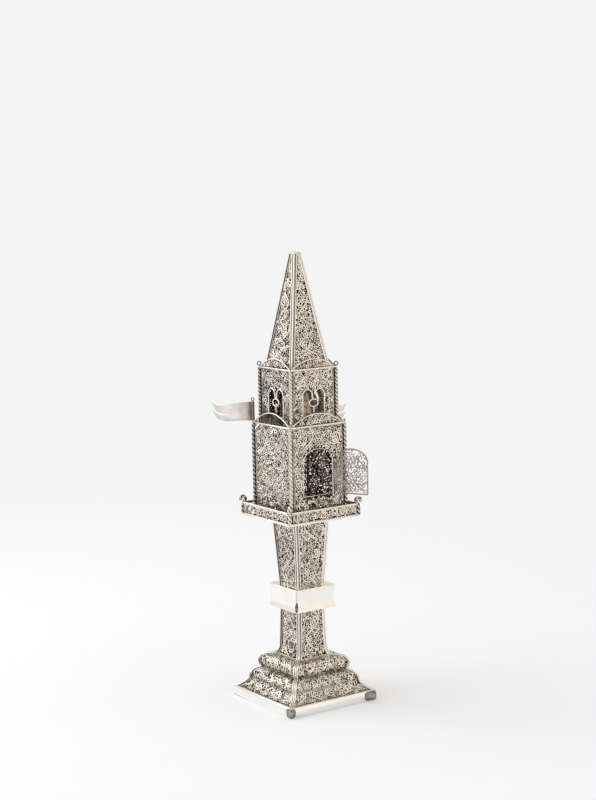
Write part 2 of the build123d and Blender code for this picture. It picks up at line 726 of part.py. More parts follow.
def pennant_poles():
    """Two whole poles at the back and two stubs at the front, where the pennants are lost."""
    poles = [pennant_pole("back_left"), pennant_pole("back_right")]
    return Compound(poles + [pole_stub("front_left"), pole_stub("front_right")])


def pennant_outline():
    """A swallow-tailed flag in (x, z), flying along +X from the pole, its foot on Z = 0."""

    def at(along, up):
        return (along * PENNANT_LENGTH, up * PENNANT_HEIGHT)

    hoist_foot, hoist_head = at(0, 0), at(0, 1)
    upper_dip, upper_tip, upper_end = at(0.76, 0.80), at(1, 1.04), at(0.955, 0.64)
    notch, lower_tip, lower_dip = at(0.55, 0.34), at(0.97, 0.57), at(0.6, -0.03)
    return make_face(
        Line(hoist_foot, hoist_head)
        + chorded(ThreePointArc(hoist_head, at(0.45, 0.94), upper_dip))
        + chorded(ThreePointArc(upper_dip, at(0.9, 0.85), upper_tip))
        + Line(upper_tip, upper_end)
        + chorded(ThreePointArc(upper_end, at(0.77, 0.41), notch))
        + chorded(ThreePointArc(notch, at(0.79, 0.27), lower_tip))
        + chorded(ThreePointArc(lower_tip, at(0.82, 0.06), lower_dip))
        + chorded(ThreePointArc(lower_dip, at(0.3, 0.02), hoist_foot))
    )


def pennant(corner, heading):
    """A waved flag rolled round its pole, which it turns about."""
    inside = POLE_RADIUS + RUNNING_CLEARANCE
    outside = inside + PENNANT_TUBE_WALL
    hoist = (inside + PENNANT_TUBE_WALL / 2, -PENNANT_SHEET / 2)
    middle = ((hoist[0] + PENNANT_LENGTH) / 2, -PENNANT_SHEET / 2)
    fly = (PENNANT_LENGTH + PENNANT_SHEET, -PENNANT_SHEET / 2)
    wave = chords(hoist, middle, PENNANT_WAVE) + chords(middle, fly, -PENNANT_WAVE)
    sheet = Pos(0, 0, -PENNANT_HEIGHT) * extrude(strip(wave, (0, PENNANT_SHEET)), 3 * PENNANT_HEIGHT)
    sheet &= extrude(Plane.XZ * pennant_outline(), PENNANT_LENGTH, both=True)
    roll = extrude(RegularPolygon(outside, KNUCKLE_SIDES, major_radius=False), PENNANT_HEIGHT)
    tube = roll - Pos(0, 0, PENNANT_HEIGHT / 2) * Cylinder(inside, 2 * PENNANT_HEIGHT)
    flag = sheet + tube
    return corner_place(COLUMN_CENTRE, corner, Z_TIER_FLOOR + PENNANT_LIFT) * Rot(0, 0, heading) * flag


def window_field():
    """A straight-edged field round the pair of windows that the trellis keeps clear of."""
    jamb = WINDOW_CENTRE + WINDOW_HALF + TRELLIS_BORDER
    head = Z_TIER_FLOOR + WINDOW_SPRING + WINDOW_HALF + TRELLIS_BORDER
    return make_face(
        Polyline((-jamb, Z_TIER_FLOOR), (jamb, Z_TIER_FLOOR), (jamb, head), (-jamb, head), close=True)
    )


def window_outline():
    """A pair of round-headed lights with one sill, as a face in (x, z)."""
    sill = Z_TIER_FLOOR + WINDOW_SILL
    spring = Z_TIER_FLOOR + WINDOW_SPRING
    pier = WINDOW_CENTRE - WINDOW_HALF
    jamb = WINDOW_CENTRE + WINDOW_HALF
    return make_face(
        Polyline((-jamb, spring), (-jamb, sill), (jamb, sill), (jamb, spring))
        + chords((jamb, spring), (pier, spring), -WINDOW_HALF, WINDOW_CHORDS)
        + Line((pier, spring), (-pier, spring))
        + chords((-pier, spring), (-jamb, spring), -WINDOW_HALF, WINDOW_CHORDS)
    )


def bell_chamber_wall():
    """One side of the bell chamber with its paired windows and trellis."""
    gap = bar_gap(UPPER_COLUMN_ACROSS)
    section = flat_section(BELL_CHAMBER_HALF, Z_TIER_FLOOR, Z_BELL_CHAMBER)
    panel = front_strip(section, BELL_CHAMBER_HALF, gap, Z_TIER_FLOOR, Z_BELL_CHAMBER)
    width = BELL_CHAMBER_HALF - SHEET - gap
    field = trellis_field(width, width, Z_TIER_FLOOR, Z_BELL_CHAMBER) - window_field()
    openings = [window_outline()] + trellis(field, BELL_TRELLIS)
    return pierce_front(panel, openings, 2 * BELL_CHAMBER_HALF)


def window_tracery():
    """The mullion and ring that stand in one pair of windows."""
    sill = Z_TIER_FLOOR + WINDOW_SILL
    spring = Z_TIER_FLOOR + WINDOW_SPRING
    ring_z = spring - TRACERY_RING_DROP
    bar = Pos(0, (sill + spring) / 2) * Rectangle(TRACERY_BAR, spring - sill)
    ring = Pos(0, ring_z) * RegularPolygon(TRACERY_RING_RADIUS, ARCH_CHORDS)
    eye = Pos(0, ring_z) * RegularPolygon(TRACERY_RING_RADIUS - TRACERY_RING_WIRE, ARCH_CHORDS)
    face = bar + ring - eye
    front = -BELL_CHAMBER_HALF + (SHEET + TRACERY_DEPTH) / 2
    return Pos(0, front, 0) * extrude(Plane.XZ * face, TRACERY_DEPTH)


def upper_finial(corner):
    """A loop of wire that ends an upper column, above the roof plate."""
    loop = wire_ring(UPPER_LOOP_RADIUS, UPPER_LOOP_WIRE)
    place = corner_place(UPPER_COLUMN_CENTRE, corner, Z_ROOF)
    return place * Rot(0, 0, corner_turn(corner)) * loop


def bell_staple():
    """The square-bent staple under the roof plate whose level bar the bell hangs from."""
    bar = Rot(0, 90, 0) * Cylinder(STAPLE_WIRE, 2 * STAPLE_HALF)
    leg = extrude(Rectangle(2 * STAPLE_WIRE, 2 * STAPLE_WIRE), STAPLE_DROP + STAPLE_WIRE)
    legs = [Pos(end * (STAPLE_HALF + STAPLE_WIRE), 0, -STAPLE_WIRE) * leg for end in (-1, 1)]
    return Pos(0, 0, Z_STAPLE) * (bar + legs)


BELL_LOOP_Z = Z_STAPLE + STAPLE_WIRE + BELL_LOOP_CLEARANCE + BELL_LOOP_WIRE - BELL_LOOP_RADIUS
BELL_CROWN_Z = BELL_LOOP_Z - BELL_LOOP_RADIUS
BELL_MOUTH_Z = BELL_CROWN_Z - BELL_HEIGHT
CROSSBAR_Z = BELL_CROWN_Z - CROSSBAR_DROP


def bell_profile(inset):
    """The bell's section as (radius, z), drawn in by inset, from the mouth to the crown."""
    mouth = (BELL_MOUTH_RADIUS - inset, BELL_MOUTH_Z)
    shoulder = (BELL_SHOULDER_RADIUS - inset, BELL_CROWN_Z - BELL_SHOULDER_DROP - inset / 2)
    crown = (BELL_CROWN_RADIUS - inset / 2, BELL_CROWN_Z - inset)
    waist = SagittaArc(mouth, shoulder, BELL_WAIST_SAG)
    dome = SagittaArc(shoulder, crown, -BELL_SHOULDER_SAG)
    points = chorded(waist).vertices()[:-1] + chorded(dome).vertices()
    return [(point.X, point.Y) for point in points]


def bell():
    """The bell with its hanging loop and the crossbar that carries the clapper."""
    cup = turned(bell_profile(0), BELL_SIDES) - turned(bell_profile(BELL_WALL), BELL_SIDES)
    loop_foot = BELL_LOOP_Z - BELL_LOOP_RADIUS - BELL_LOOP_WIRE
    loop = Pos(0, 0, loop_foot) * Rot(0, 0, 90) * wire_ring(BELL_LOOP_RADIUS, BELL_LOOP_WIRE)
    bar = Pos(0, 0, CROSSBAR_Z) * Rot(0, 90, 0) * Cylinder(CROSSBAR_RADIUS, 2 * BELL_SHOULDER_RADIUS)
    return cup + loop + bar


def clapper():
    """The clapper, hung by an eye from the bell's crossbar."""
    eye = Pos(-CLAPPER_EYE_LENGTH / 2, 0, 0) * Rot(0, 90, 0) * extrude(
        RegularPolygon(CLAPPER_EYE_RADIUS, KNUCKLE_SIDES), CLAPPER_EYE_LENGTH
    )
    bore = Rot(0, 90, 0) * Cylinder(CROSSBAR_RADIUS + RUNNING_CLEARANCE, 2 * CLAPPER_EYE_LENGTH)
    rod = Pos(0, 0, -CLAPPER_BALL_DROP) * extrude(
        RegularPolygon(CLAPPER_ROD_RADIUS, WIRE_SIDES), CLAPPER_BALL_DROP
    )
    angles = [math.radians(angle) for angle in (-75, -40, 0, 40, 75)]
    ball = turned(
        [(CLAPPER_BALL_RADIUS * math.cos(angle), CLAPPER_BALL_RADIUS * math.sin(angle)) for angle in angles],
        KNUCKLE_SIDES,
    )
    ball = Pos(0, 0, -CLAPPER_BALL_DROP) * ball
    return Pos(0, 0, CROSSBAR_Z) * (eye + rod + ball - bore)


def spire_panel():
    """One filigree side of the spire."""
    section = leaning_section(SPIRE_FOOT_HALF, SPIRE_HEAD_HALF, Z_ROOF, Z_SPIRE)
    panel = front_strip(section, SPIRE_FOOT_HALF, CORNER_WIRE_GAP, Z_ROOF, Z_SPIRE)
    field = trellis_field(
        SPIRE_FOOT_HALF - CORNER_WIRE_GAP, SPIRE_HEAD_HALF - CORNER_WIRE_GAP, Z_ROOF, Z_SPIRE
    )
    return pierce_front(panel, trellis(field, SPIRE_TRELLIS), 2 * SPIRE_FOOT_HALF)


def spire_cap():
    """The small square cap that closes the spire."""
    foot = (SPIRE_CAP_HALF * math.sqrt(2), Z_SPIRE)
    head = (SPIRE_CAP_TOP_HALF * math.sqrt(2), Z_SPIRE + SPIRE_CAP_HEIGHT)
    return Rot(0, 0, 45) * turned([foot, head], len(SIDES))


def base_nodes():
    """The foot, the moulded base and the lower stem."""
    return {
        "foot_rim": foot_rim(),
        **four_sides("base_panel", base_panel()),
        "base_corner_wires": four_corners(base_corner_wire()),
        **four_sides("lower_stem_panel", lower_stem_panel()),
        "lower_stem_corner_wires": four_corners(lower_stem_corner_wire()),
    }


def stem_nodes():
    """The knop, the upper stem and the gallery."""
    wire = leaning_wire(UPPER_STEM_FOOT_HALF, UPPER_STEM_HEAD_HALF, Z_KNOP, Z_UPPER_STEM)
    return {
        **knop_parts(),
        **four_sides("upper_stem_panel", upper_stem_panel()),
        "upper_stem_corner_wires": four_corners(wire),
        "gallery_floor": square_plate(GALLERY_HALF, Z_UPPER_STEM, GALLERY_FLOOR),
        **four_sides("gallery_fence", gallery_fence()),
        "gallery_posts": Compound([gallery_post(corner) for corner in CORNERS]),
    }


def chamber_nodes():
    """The spice chamber, its door and its crests."""
    walls = four_sides("chamber_wall", pierced_chamber_wall())
    walls["chamber_wall_front"] = front_wall()
    gap = bar_gap(COLUMN_ACROSS)
    return {
        **walls,
        "chamber_columns": columns(COLUMN_ACROSS, COLUMN_CENTRE, Z_GALLERY, CHAMBER_HEIGHT),
        "doorway_frame": doorway_frame(),
        "hinge_knuckles": hinge_knuckles(),
        "hinge_pin": hinge_pin(),
        "door_leaf": door_leaf(),
        "door_pull": door_pull(),
        "door_catch": door_catch(),
        "tier_floor": square_plate(CHAMBER_HALF + TIER_FLOOR_OVERHANG, Z_CHAMBER, TIER_FLOOR),
        "chamber_crests": four_corners(crest(CHAMBER_HALF, gap, Z_TIER_FLOOR, LOWER_CREST_RISE)),
        "pennant_poles": pennant_poles(),
        "pennant_left": pennant("back_left", LEFT_PENNANT_HEADING),
        "pennant_back": pennant("back_right", BACK_PENNANT_HEADING),
    }


def bell_chamber_nodes():
    """The bell chamber, the bell in it and the spire above."""
    gap = bar_gap(UPPER_COLUMN_ACROSS)
    wire = leaning_wire(SPIRE_FOOT_HALF, SPIRE_HEAD_HALF, Z_ROOF, Z_SPIRE)
    return {
        **four_sides("bell_chamber_wall", bell_chamber_wall()),
        "bell_chamber_columns": columns(
            UPPER_COLUMN_ACROSS, UPPER_COLUMN_CENTRE, Z_TIER_FLOOR, BELL_CHAMBER_HEIGHT
        ),
        "window_tracery": four_corners(window_tracery()),
        "roof_plate": square_plate(BELL_CHAMBER_HALF + ROOF_OVERHANG, Z_BELL_CHAMBER, ROOF_PLATE),
        "bell_chamber_crests": four_corners(crest(BELL_CHAMBER_HALF, gap, Z_ROOF, UPPER_CREST_RISE)),
        "roof_finials": Compound([upper_finial(corner) for corner in CORNERS]),
        "bell_staple": bell_staple(),
        "bell": bell(),
        "clapper": clapper(),
        **four_sides("spire_panel", spire_panel()),
        "spire_corner_wires": four_corners(wire),
        "spire_cap": spire_cap(),
    }


def main():
    """Builds every node and writes one STEP file for each."""
    os.makedirs("parts", exist_ok=True)
    nodes = {**base_nodes(), **stem_nodes(), **chamber_nodes(), **bell_chamber_nodes()}
    for name, shape in nodes.items():
        export_step(shape, f"parts/{name}.step")
    print(len(nodes), "nodes written")


main()
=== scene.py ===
import json
import logging
import math
from collections.abc import Iterable
from dataclasses import dataclass
from enum import Enum

import bpy
import numpy as np
from mathutils import Matrix, Vector

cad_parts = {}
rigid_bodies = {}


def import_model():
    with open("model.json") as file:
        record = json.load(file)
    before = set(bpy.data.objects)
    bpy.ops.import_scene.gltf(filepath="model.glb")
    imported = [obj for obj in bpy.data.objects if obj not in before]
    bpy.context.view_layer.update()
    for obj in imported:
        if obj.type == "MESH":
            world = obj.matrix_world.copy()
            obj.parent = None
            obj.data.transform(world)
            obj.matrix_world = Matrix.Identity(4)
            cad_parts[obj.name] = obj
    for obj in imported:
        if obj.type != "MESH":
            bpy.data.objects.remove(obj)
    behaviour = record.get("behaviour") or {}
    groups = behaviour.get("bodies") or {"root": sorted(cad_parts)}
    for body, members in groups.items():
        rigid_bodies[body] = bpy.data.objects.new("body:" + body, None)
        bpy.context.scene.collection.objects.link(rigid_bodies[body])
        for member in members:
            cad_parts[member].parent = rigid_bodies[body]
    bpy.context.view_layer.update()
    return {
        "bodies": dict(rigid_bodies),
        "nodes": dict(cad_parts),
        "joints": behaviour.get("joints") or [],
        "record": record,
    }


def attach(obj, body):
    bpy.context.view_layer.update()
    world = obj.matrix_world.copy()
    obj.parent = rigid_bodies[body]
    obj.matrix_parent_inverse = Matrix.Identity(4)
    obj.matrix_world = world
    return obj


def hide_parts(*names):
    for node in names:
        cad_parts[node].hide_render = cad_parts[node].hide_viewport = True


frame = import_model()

# The looks of a silver filigree spice tower, built over its CAD frame.
# Sizes are in millimetres and are taken to metres where a mesh is made.
# The door faces -Y, and a piece is drawn on that front side and then turned to the other sides.

Array = np.ndarray
Pair = tuple[float, float]
Triple = tuple[float, float, float]
MM = 0.001
FULL_TURN = 2.0 * math.pi
log = logging.getLogger("spice_tower")


class Side(Enum):
    """The tower's four sides, each with its turn from the front in degrees."""

    FRONT = 0.0
    RIGHT = 90.0
    BACK = 180.0
    LEFT = 270.0

    @property
    def word(self) -> str:
        """The side's word in the names of the nodes."""
        return self.name.lower()


class Hand(Enum):
    """Which way a scroll winds."""

    LEFT = 1.0
    RIGHT = -1.0


class Crease(Enum):
    """The angle in degrees above which an edge stays sharp, for each sort of piece."""

    WIRE = 60.0
    SHEET = 50.0
    HINGE = 40.0


# Arrays and surfaces


@dataclass(frozen=True)
class Skin:
    """A surface of quads in millimetres.

    Each point has a tone, from 0 for bright silver to 1 for dark: in some places rubbing and tarnish, in
    others painted shade and painted highlight.
    """

    points: Array
    quads: Array
    tone: Array

    @staticmethod
    def joined(skins: Iterable["Skin"]) -> "Skin":
        """Puts several skins into one.

        Args:
            skins: The skins, in order.

        Returns:
            One skin with all their points and quads.
        """
        parts = list(skins)
        starts = np.cumsum([0] + [len(part.points) for part in parts[:-1]])
        return Skin(
            np.concatenate([part.points for part in parts]),
            np.concatenate([part.quads + start for part, start in zip(parts, starts)]),
            np.concatenate([part.tone for part in parts]),
        )

    def turned(self, degrees: float, about: Pair = (0.0, 0.0)) -> "Skin":
        """Turns the skin about an upright axis.

        Args:
            degrees: The turn, counter-clockwise from above.
            about: Where the axis stands, as x and y.

        Returns:
            The turned skin.
        """
        angle = math.radians(degrees)
        cos, sin = math.cos(angle), math.sin(angle)
        shift = np.array([about[0], about[1], 0.0])
        turn = np.array([[cos, -sin, 0.0], [sin, cos, 0.0], [0.0, 0.0, 1.0]])
        return Skin((self.points - shift) @ turn.T + shift, self.quads, self.tone)

    def moved(self, x: float, y: float, z: float) -> "Skin":
        """The skin carried by a shift."""
        return Skin(self.points + np.array([x, y, z]), self.quads, self.tone)

    def darker(self, by: float | Array) -> "Skin":
        """The skin gone darker, by one amount all over or by one for each point."""
        return Skin(self.points, self.quads, self.tone + by)

    def faced_out(self) -> "Skin":
        """Turns the faces of a closed skin outwards, told from the sign of its volume.

        The volume is the sum over the quads a b c d of (a . b x c + a . c x d) / 6.

        Returns:
            The skin, with its quads reversed where the volume came out below zero.
        """
        points = self.points - self.points.mean(axis=0)
        a, b, c, d = (points[self.quads[:, corner]] for corner in range(4))
        volume = np.sum(a * (np.cross(b, c) + np.cross(c, d))) / 6.0
        return self if volume >= 0.0 else Skin(self.points, self.quads[:, ::-1], self.tone)


def grid_quads(rows: int, columns: int, wrap_rows: bool, wrap_columns: bool) -> Array:
    """Numbers the quads of a grid of points that is stored row by row.

    Args:
        rows: How many rows of points there are.
        columns: How many points are in a row.
        wrap_rows: Whether the last row joins the first.
        wrap_columns: Whether a row's last point joins its first.

    Returns:
        An array of four point numbers per quad.
    """
    row, column = np.meshgrid(
        np.arange(rows if wrap_rows else rows - 1),
        np.arange(columns if wrap_columns else columns - 1),
        indexing="ij",
    )
    next_row, next_column = (row + 1) % rows, (column + 1) % columns
    corners = [
        row * columns + column,
        row * columns + next_column,
        next_row * columns + next_column,
        next_row * columns + column,
    ]
    return np.stack(corners, axis=-1).reshape(-1, 4)


def cap_quads(sides: int) -> Array:
    """Closes an even ring with a strip of quads: point k is joined across to point sides - 1 - k."""
    near = np.arange((sides - 2) // 2)
    return np.stack([near, near + 1, sides - 2 - near, sides - 1 - near], axis=-1)


def tube(points: Array, tone: Array, closed: bool = False) -> Skin:
    """Skins rows of rings, with a cap at each end unless the last ring joins the first.

    Args:
        points: Ring points of shape (rows, sides, 3), each ring counter-clockwise along the rows.
        tone: The points' tone, of a shape that fits (rows, sides).
        closed: Whether the last ring joins the first.

    Returns:
        The closed skin.
    """
    rows, sides, _ = points.shape
    quads = [grid_quads(rows, sides, closed, True)]
    if not closed:
        cap = cap_quads(sides)
        quads += [cap[:, ::-1], cap + (rows - 1) * sides]
    return Skin(
        points.reshape(-1, 3),
        np.concatenate(quads),
        np.broadcast_to(tone, (rows, sides)).reshape(-1).astype(float),
    )


def slab(outer: Array, inner: Array, tone: float | Array = 0.1) -> Skin:
    """Closes two matching grids into a thin solid: the outer grid, its edges and the inner grid.

    Args:
        outer: Points of shape (rows, columns, 3) on the outer face.
        inner: Points of the same shape on the inner face.
        tone: The tone, one value or one per point of a face.

    Returns:
        The closed skin.
    """
    shade = np.broadcast_to(tone, outer.shape[:2])
    points = np.concatenate([outer, inner[:, ::-1]], axis=1)
    return tube(points, np.concatenate([shade, shade[:, ::-1]], axis=1)).faced_out()


def unit(vectors: Array) -> Array:
    """Each vector divided by its length."""
    return vectors / np.maximum(np.linalg.norm(vectors, axis=-1, keepdims=True), 1e-9)


def sweep(
    paths: Array,
    normals: Array,
    across: float | Array,
    depth: float | Array,
    sides: int = 4,
    closed: bool = False,
    tones: Pair = (0.0, 1.0),
) -> Skin:
    """Carries an oval section along many paths at once, or an oblong one where it has four sides.

    A ring's point is the path's point + across * cos(a) * side + depth * sin(a) * normal.
    With four sides the angles are the diagonals and both shares are 1, so the outer face is flat.

    Args:
        paths: Points of shape (paths, steps, 3).
        normals: The direction that each section's depth points in, of the same shape.
        across: Half the section's width, of a shape that fits (paths, steps).
        depth: Half the section's depth, likewise.
        sides: How many points a section has.
        closed: Whether each path ends where it starts.
        tones: The tone on the outer ridge and the tone at the back.

    Returns:
        One skin with every wire closed at its ends.
    """
    count, steps, _ = paths.shape
    if closed:
        tangent = unit(np.roll(paths, -1, axis=1) - np.roll(paths, 1, axis=1))
    else:
        tangent = unit(np.gradient(paths, axis=1))
    side = unit(np.cross(normals, tangent))
    lift = np.cross(tangent, side)
    angle = FULL_TURN * (np.arange(sides) + (0.5 if sides == 4 else 0.0)) / sides
    cos, sin = np.cos(angle), np.sin(angle)
    if sides == 4:
        cos, sin = np.sign(cos), np.sign(sin)
    wide = np.broadcast_to(np.asarray(across, float), (count, steps))[..., None, None]
    deep = np.broadcast_to(np.asarray(depth, float), (count, steps))[..., None, None]
    rings = (
        paths[:, :, None]
        + wide * cos[:, None] * side[:, :, None]
        + deep * sin[:, None] * lift[:, :, None]
    )
    quads = [grid_quads(steps, sides, closed, True)]
    if not closed:
        cap = cap_quads(sides)
        quads += [cap[:, ::-1], cap + (steps - 1) * sides]
    starts = np.arange(count)[:, None, None] * (steps * sides)
    tone = tones[0] + (tones[1] - tones[0]) * (0.5 - 0.5 * sin)
    return Skin(
        rings.reshape(-1, 3),
        (np.concatenate(quads)[None] + starts).reshape(-1, 4),
        np.broadcast_to(tone, (count, steps, sides)).reshape(-1).copy(),
    )


def revolve(profile: Array, steps: int = 24, closed: bool = False, tone: float | Array = 0.1) -> Skin:
    """Turns a profile of (radius, z) about Z: x = r cos a, y = r sin a.

    Args:
        profile: The profile's points, upwards on the outside.
        steps: How many points go round.
        closed: Whether the profile ends where it starts, as for a ring.
        tone: The tone, one value or one per profile point.

    Returns:
        The closed skin.
    """
    angle = FULL_TURN * np.arange(steps) / steps
    radius, z = profile[:, :1], profile[:, 1:]
    points = np.stack([radius * np.cos(angle), radius * np.sin(angle), z + 0.0 * angle], axis=-1)
    shade = np.asarray(tone, float)
    return tube(points, shade[:, None] if shade.ndim else shade, closed)


def square_loop(half: Array, z: Array, corner: float, slit: float = 0.0) -> Array:
    """Rings of a square with rounded corners, starting at the front left corner.

    A corner's points are (half - corner) along both axes plus corner * (cos a, sin a).

    Args:
        half: Half the square's side for each ring.
        z: Each ring's height.
        corner: The radius of the corners.
        slit: Half the width of a gap left at the front left corner, or 0 for none.

    Returns:
        Points of shape (rings, columns, 3).
    """
    arc = np.radians(np.linspace(180.0, 270.0, 4))
    turns = np.radians([0.0, 90.0, 180.0, 270.0])
    angle = (turns[:, None] + arc).reshape(-1)
    middle = np.repeat(turns + math.radians(225.0), len(arc))
    bend = np.minimum(corner, half)[:, None]
    reach = (half[:, None] - bend) * math.sqrt(2.0)
    x = reach * np.cos(middle) + bend * np.cos(angle)
    y = reach * np.sin(middle) + bend * np.sin(angle)
    if slit:
        start = (-half[:, None] + slit, -half[:, None])
        x = np.concatenate([start[0], x[:, len(arc):], start[1]], axis=1)
        y = np.concatenate([start[1], y[:, len(arc):], start[0]], axis=1)
    return np.stack([x, y, np.broadcast_to(z[:, None], x.shape)], axis=-1)


def square_ring(profile: Array, corner: float, tone: float | Array = 0.05) -> Skin:
    """Carries a closed profile of (half, z) round a square, upwards on its outside."""
    loops = square_loop(profile[:, 0], profile[:, 1], corner)
    return tube(loops, np.array(tone), closed=True)


def square_plate(half: float, low: float, high: float, edge: float, tone: float = 0.0) -> Skin:
    """A level plate with softened, bright edges.

    Args:
        half: Half the plate's side.
        low: The height of its underside.
        high: The height of its top.
        edge: How far its edges are softened.
        tone: The tone of its two flat sides.

    Returns:
        The closed skin.
    """
    rim = half - 2.5 * edge
    halves = np.array([0.3 * half, rim, half - edge, half, half, half - edge, rim, 0.3 * half])
    heights = np.array([low, low, low, low + edge, high - edge, high, high, high])
    shade = np.array([tone, tone, 0.0, 0.0, 0.0, 0.0, tone, tone])
    return tube(square_loop(halves, heights, 2.0 * edge), shade[:, None])


def spline(points: Array, count: int) -> Array:
    """Draws a smooth line through points, as a Catmull-Rom curve.

    On each span p(t) = a + b t + c t^2 + d t^3 with slopes of half the chord between neighbours.

    Args:
        points: Points of shape (n, dimensions).
        count: How many points to return, evenly over the spans.

    Returns:
        Points of shape (count, dimensions).
    """
    knots = np.asarray(points, float)
    slope = np.gradient(knots, axis=0)
    place = np.linspace(0.0, len(knots) - 1.0, count)
    span = np.minimum(place.astype(int), len(knots) - 2)
    t = (place - span)[:, None]
    start, end = knots[span], knots[span + 1]
    return (
        (2 * t**3 - 3 * t**2 + 1) * start
        + (t**3 - 2 * t**2 + t) * slope[span]
        + (3 * t**2 - 2 * t**3) * end
        + (t**3 - t**2) * slope[span + 1]
    )


def bow(start: Pair, end: Pair, sag: float, count: int = 9) -> Array:
    """A shallow arc from start to end: the chord plus sag * 4 t (1 - t) to its left.

    Args:
        start: The first point.
        end: The last point.
        sag: How far the arc stands off the chord, to the left of its direction.
        count: How many points to return.

    Returns:
        Points of shape (count, 2).
    """
    t = np.linspace(0.0, 1.0, count)[:, None]
    first, chord = np.array(start), np.array(end) - np.array(start)
    left = np.array([-chord[1], chord[0]]) / np.linalg.norm(chord)
    return first + t * chord + sag * 4.0 * t * (1.0 - t) * left


def arch_line(half: float, low: float, spring: float, rise: float, count: int = 24) -> Array:
    """An arched opening's outline, from its right foot over the arch to its left foot.

    Args:
        half: Half the opening's width.
        low: The height of its foot.
        spring: The height where the arch starts.
        rise: The arch's height over the spring.
        count: How many points the arch has.

    Returns:
        Points of shape (count + 2, 2).
    """
    angle = np.linspace(0.0, math.pi, count)
    arch = np.stack([half * np.cos(angle), spring + rise * np.sin(angle)], axis=-1)
    return np.concatenate([[[half, low]], arch, [[-half, low]]])


def arch_paths(arch: Array) -> tuple[Array, Array]:
    """Splits an arched outline into wires.

    Args:
        arch: What arch_line gives.

    Returns:
        The sill and the two jambs, of shape (3, 12, 2), and the arch, of shape (1, 48, 2).
    """
    ends = [(arch[-1], arch[0]), (arch[0], arch[1]), (arch[-1], arch[-2])]
    straight = np.stack([np.linspace(start, end, 12) for start, end in ends])
    return straight, spline(arch[1:-1], 48)[None]


def inside_by(points: Array, outline: Array) -> Array:
    """How far points lie inside a closed outline, negative outside it.

    The distance is the least one to any edge, and the sign comes from counting crossings.

    Args:
        points: Points of shape (n, 2).
        outline: The outline's corners, of shape (m, 2).

    Returns:
        One distance per point.
    """
    start, end = outline, np.roll(outline, -1, axis=0)
    edge = end - start
    from_start = points[:, None] - start
    share = (from_start * edge).sum(-1) / np.maximum((edge**2).sum(-1), 1e-12)
    nearest = from_start - np.clip(share, 0.0, 1.0)[..., None] * edge
    distance = np.linalg.norm(nearest, axis=-1).min(axis=1)
    x, y = points[:, :1], points[:, 1:]
    rise = np.where(np.abs(edge[:, 1]) < 1e-9, 1e-9, edge[:, 1])
    crossing = start[:, 0] + (y - start[:, 1]) / rise * edge[:, 0]
    crossed = ((start[:, 1] > y) != (end[:, 1] > y)) & (x < crossing)
    return np.where(crossed.sum(axis=1) % 2 == 1, distance, -distance)


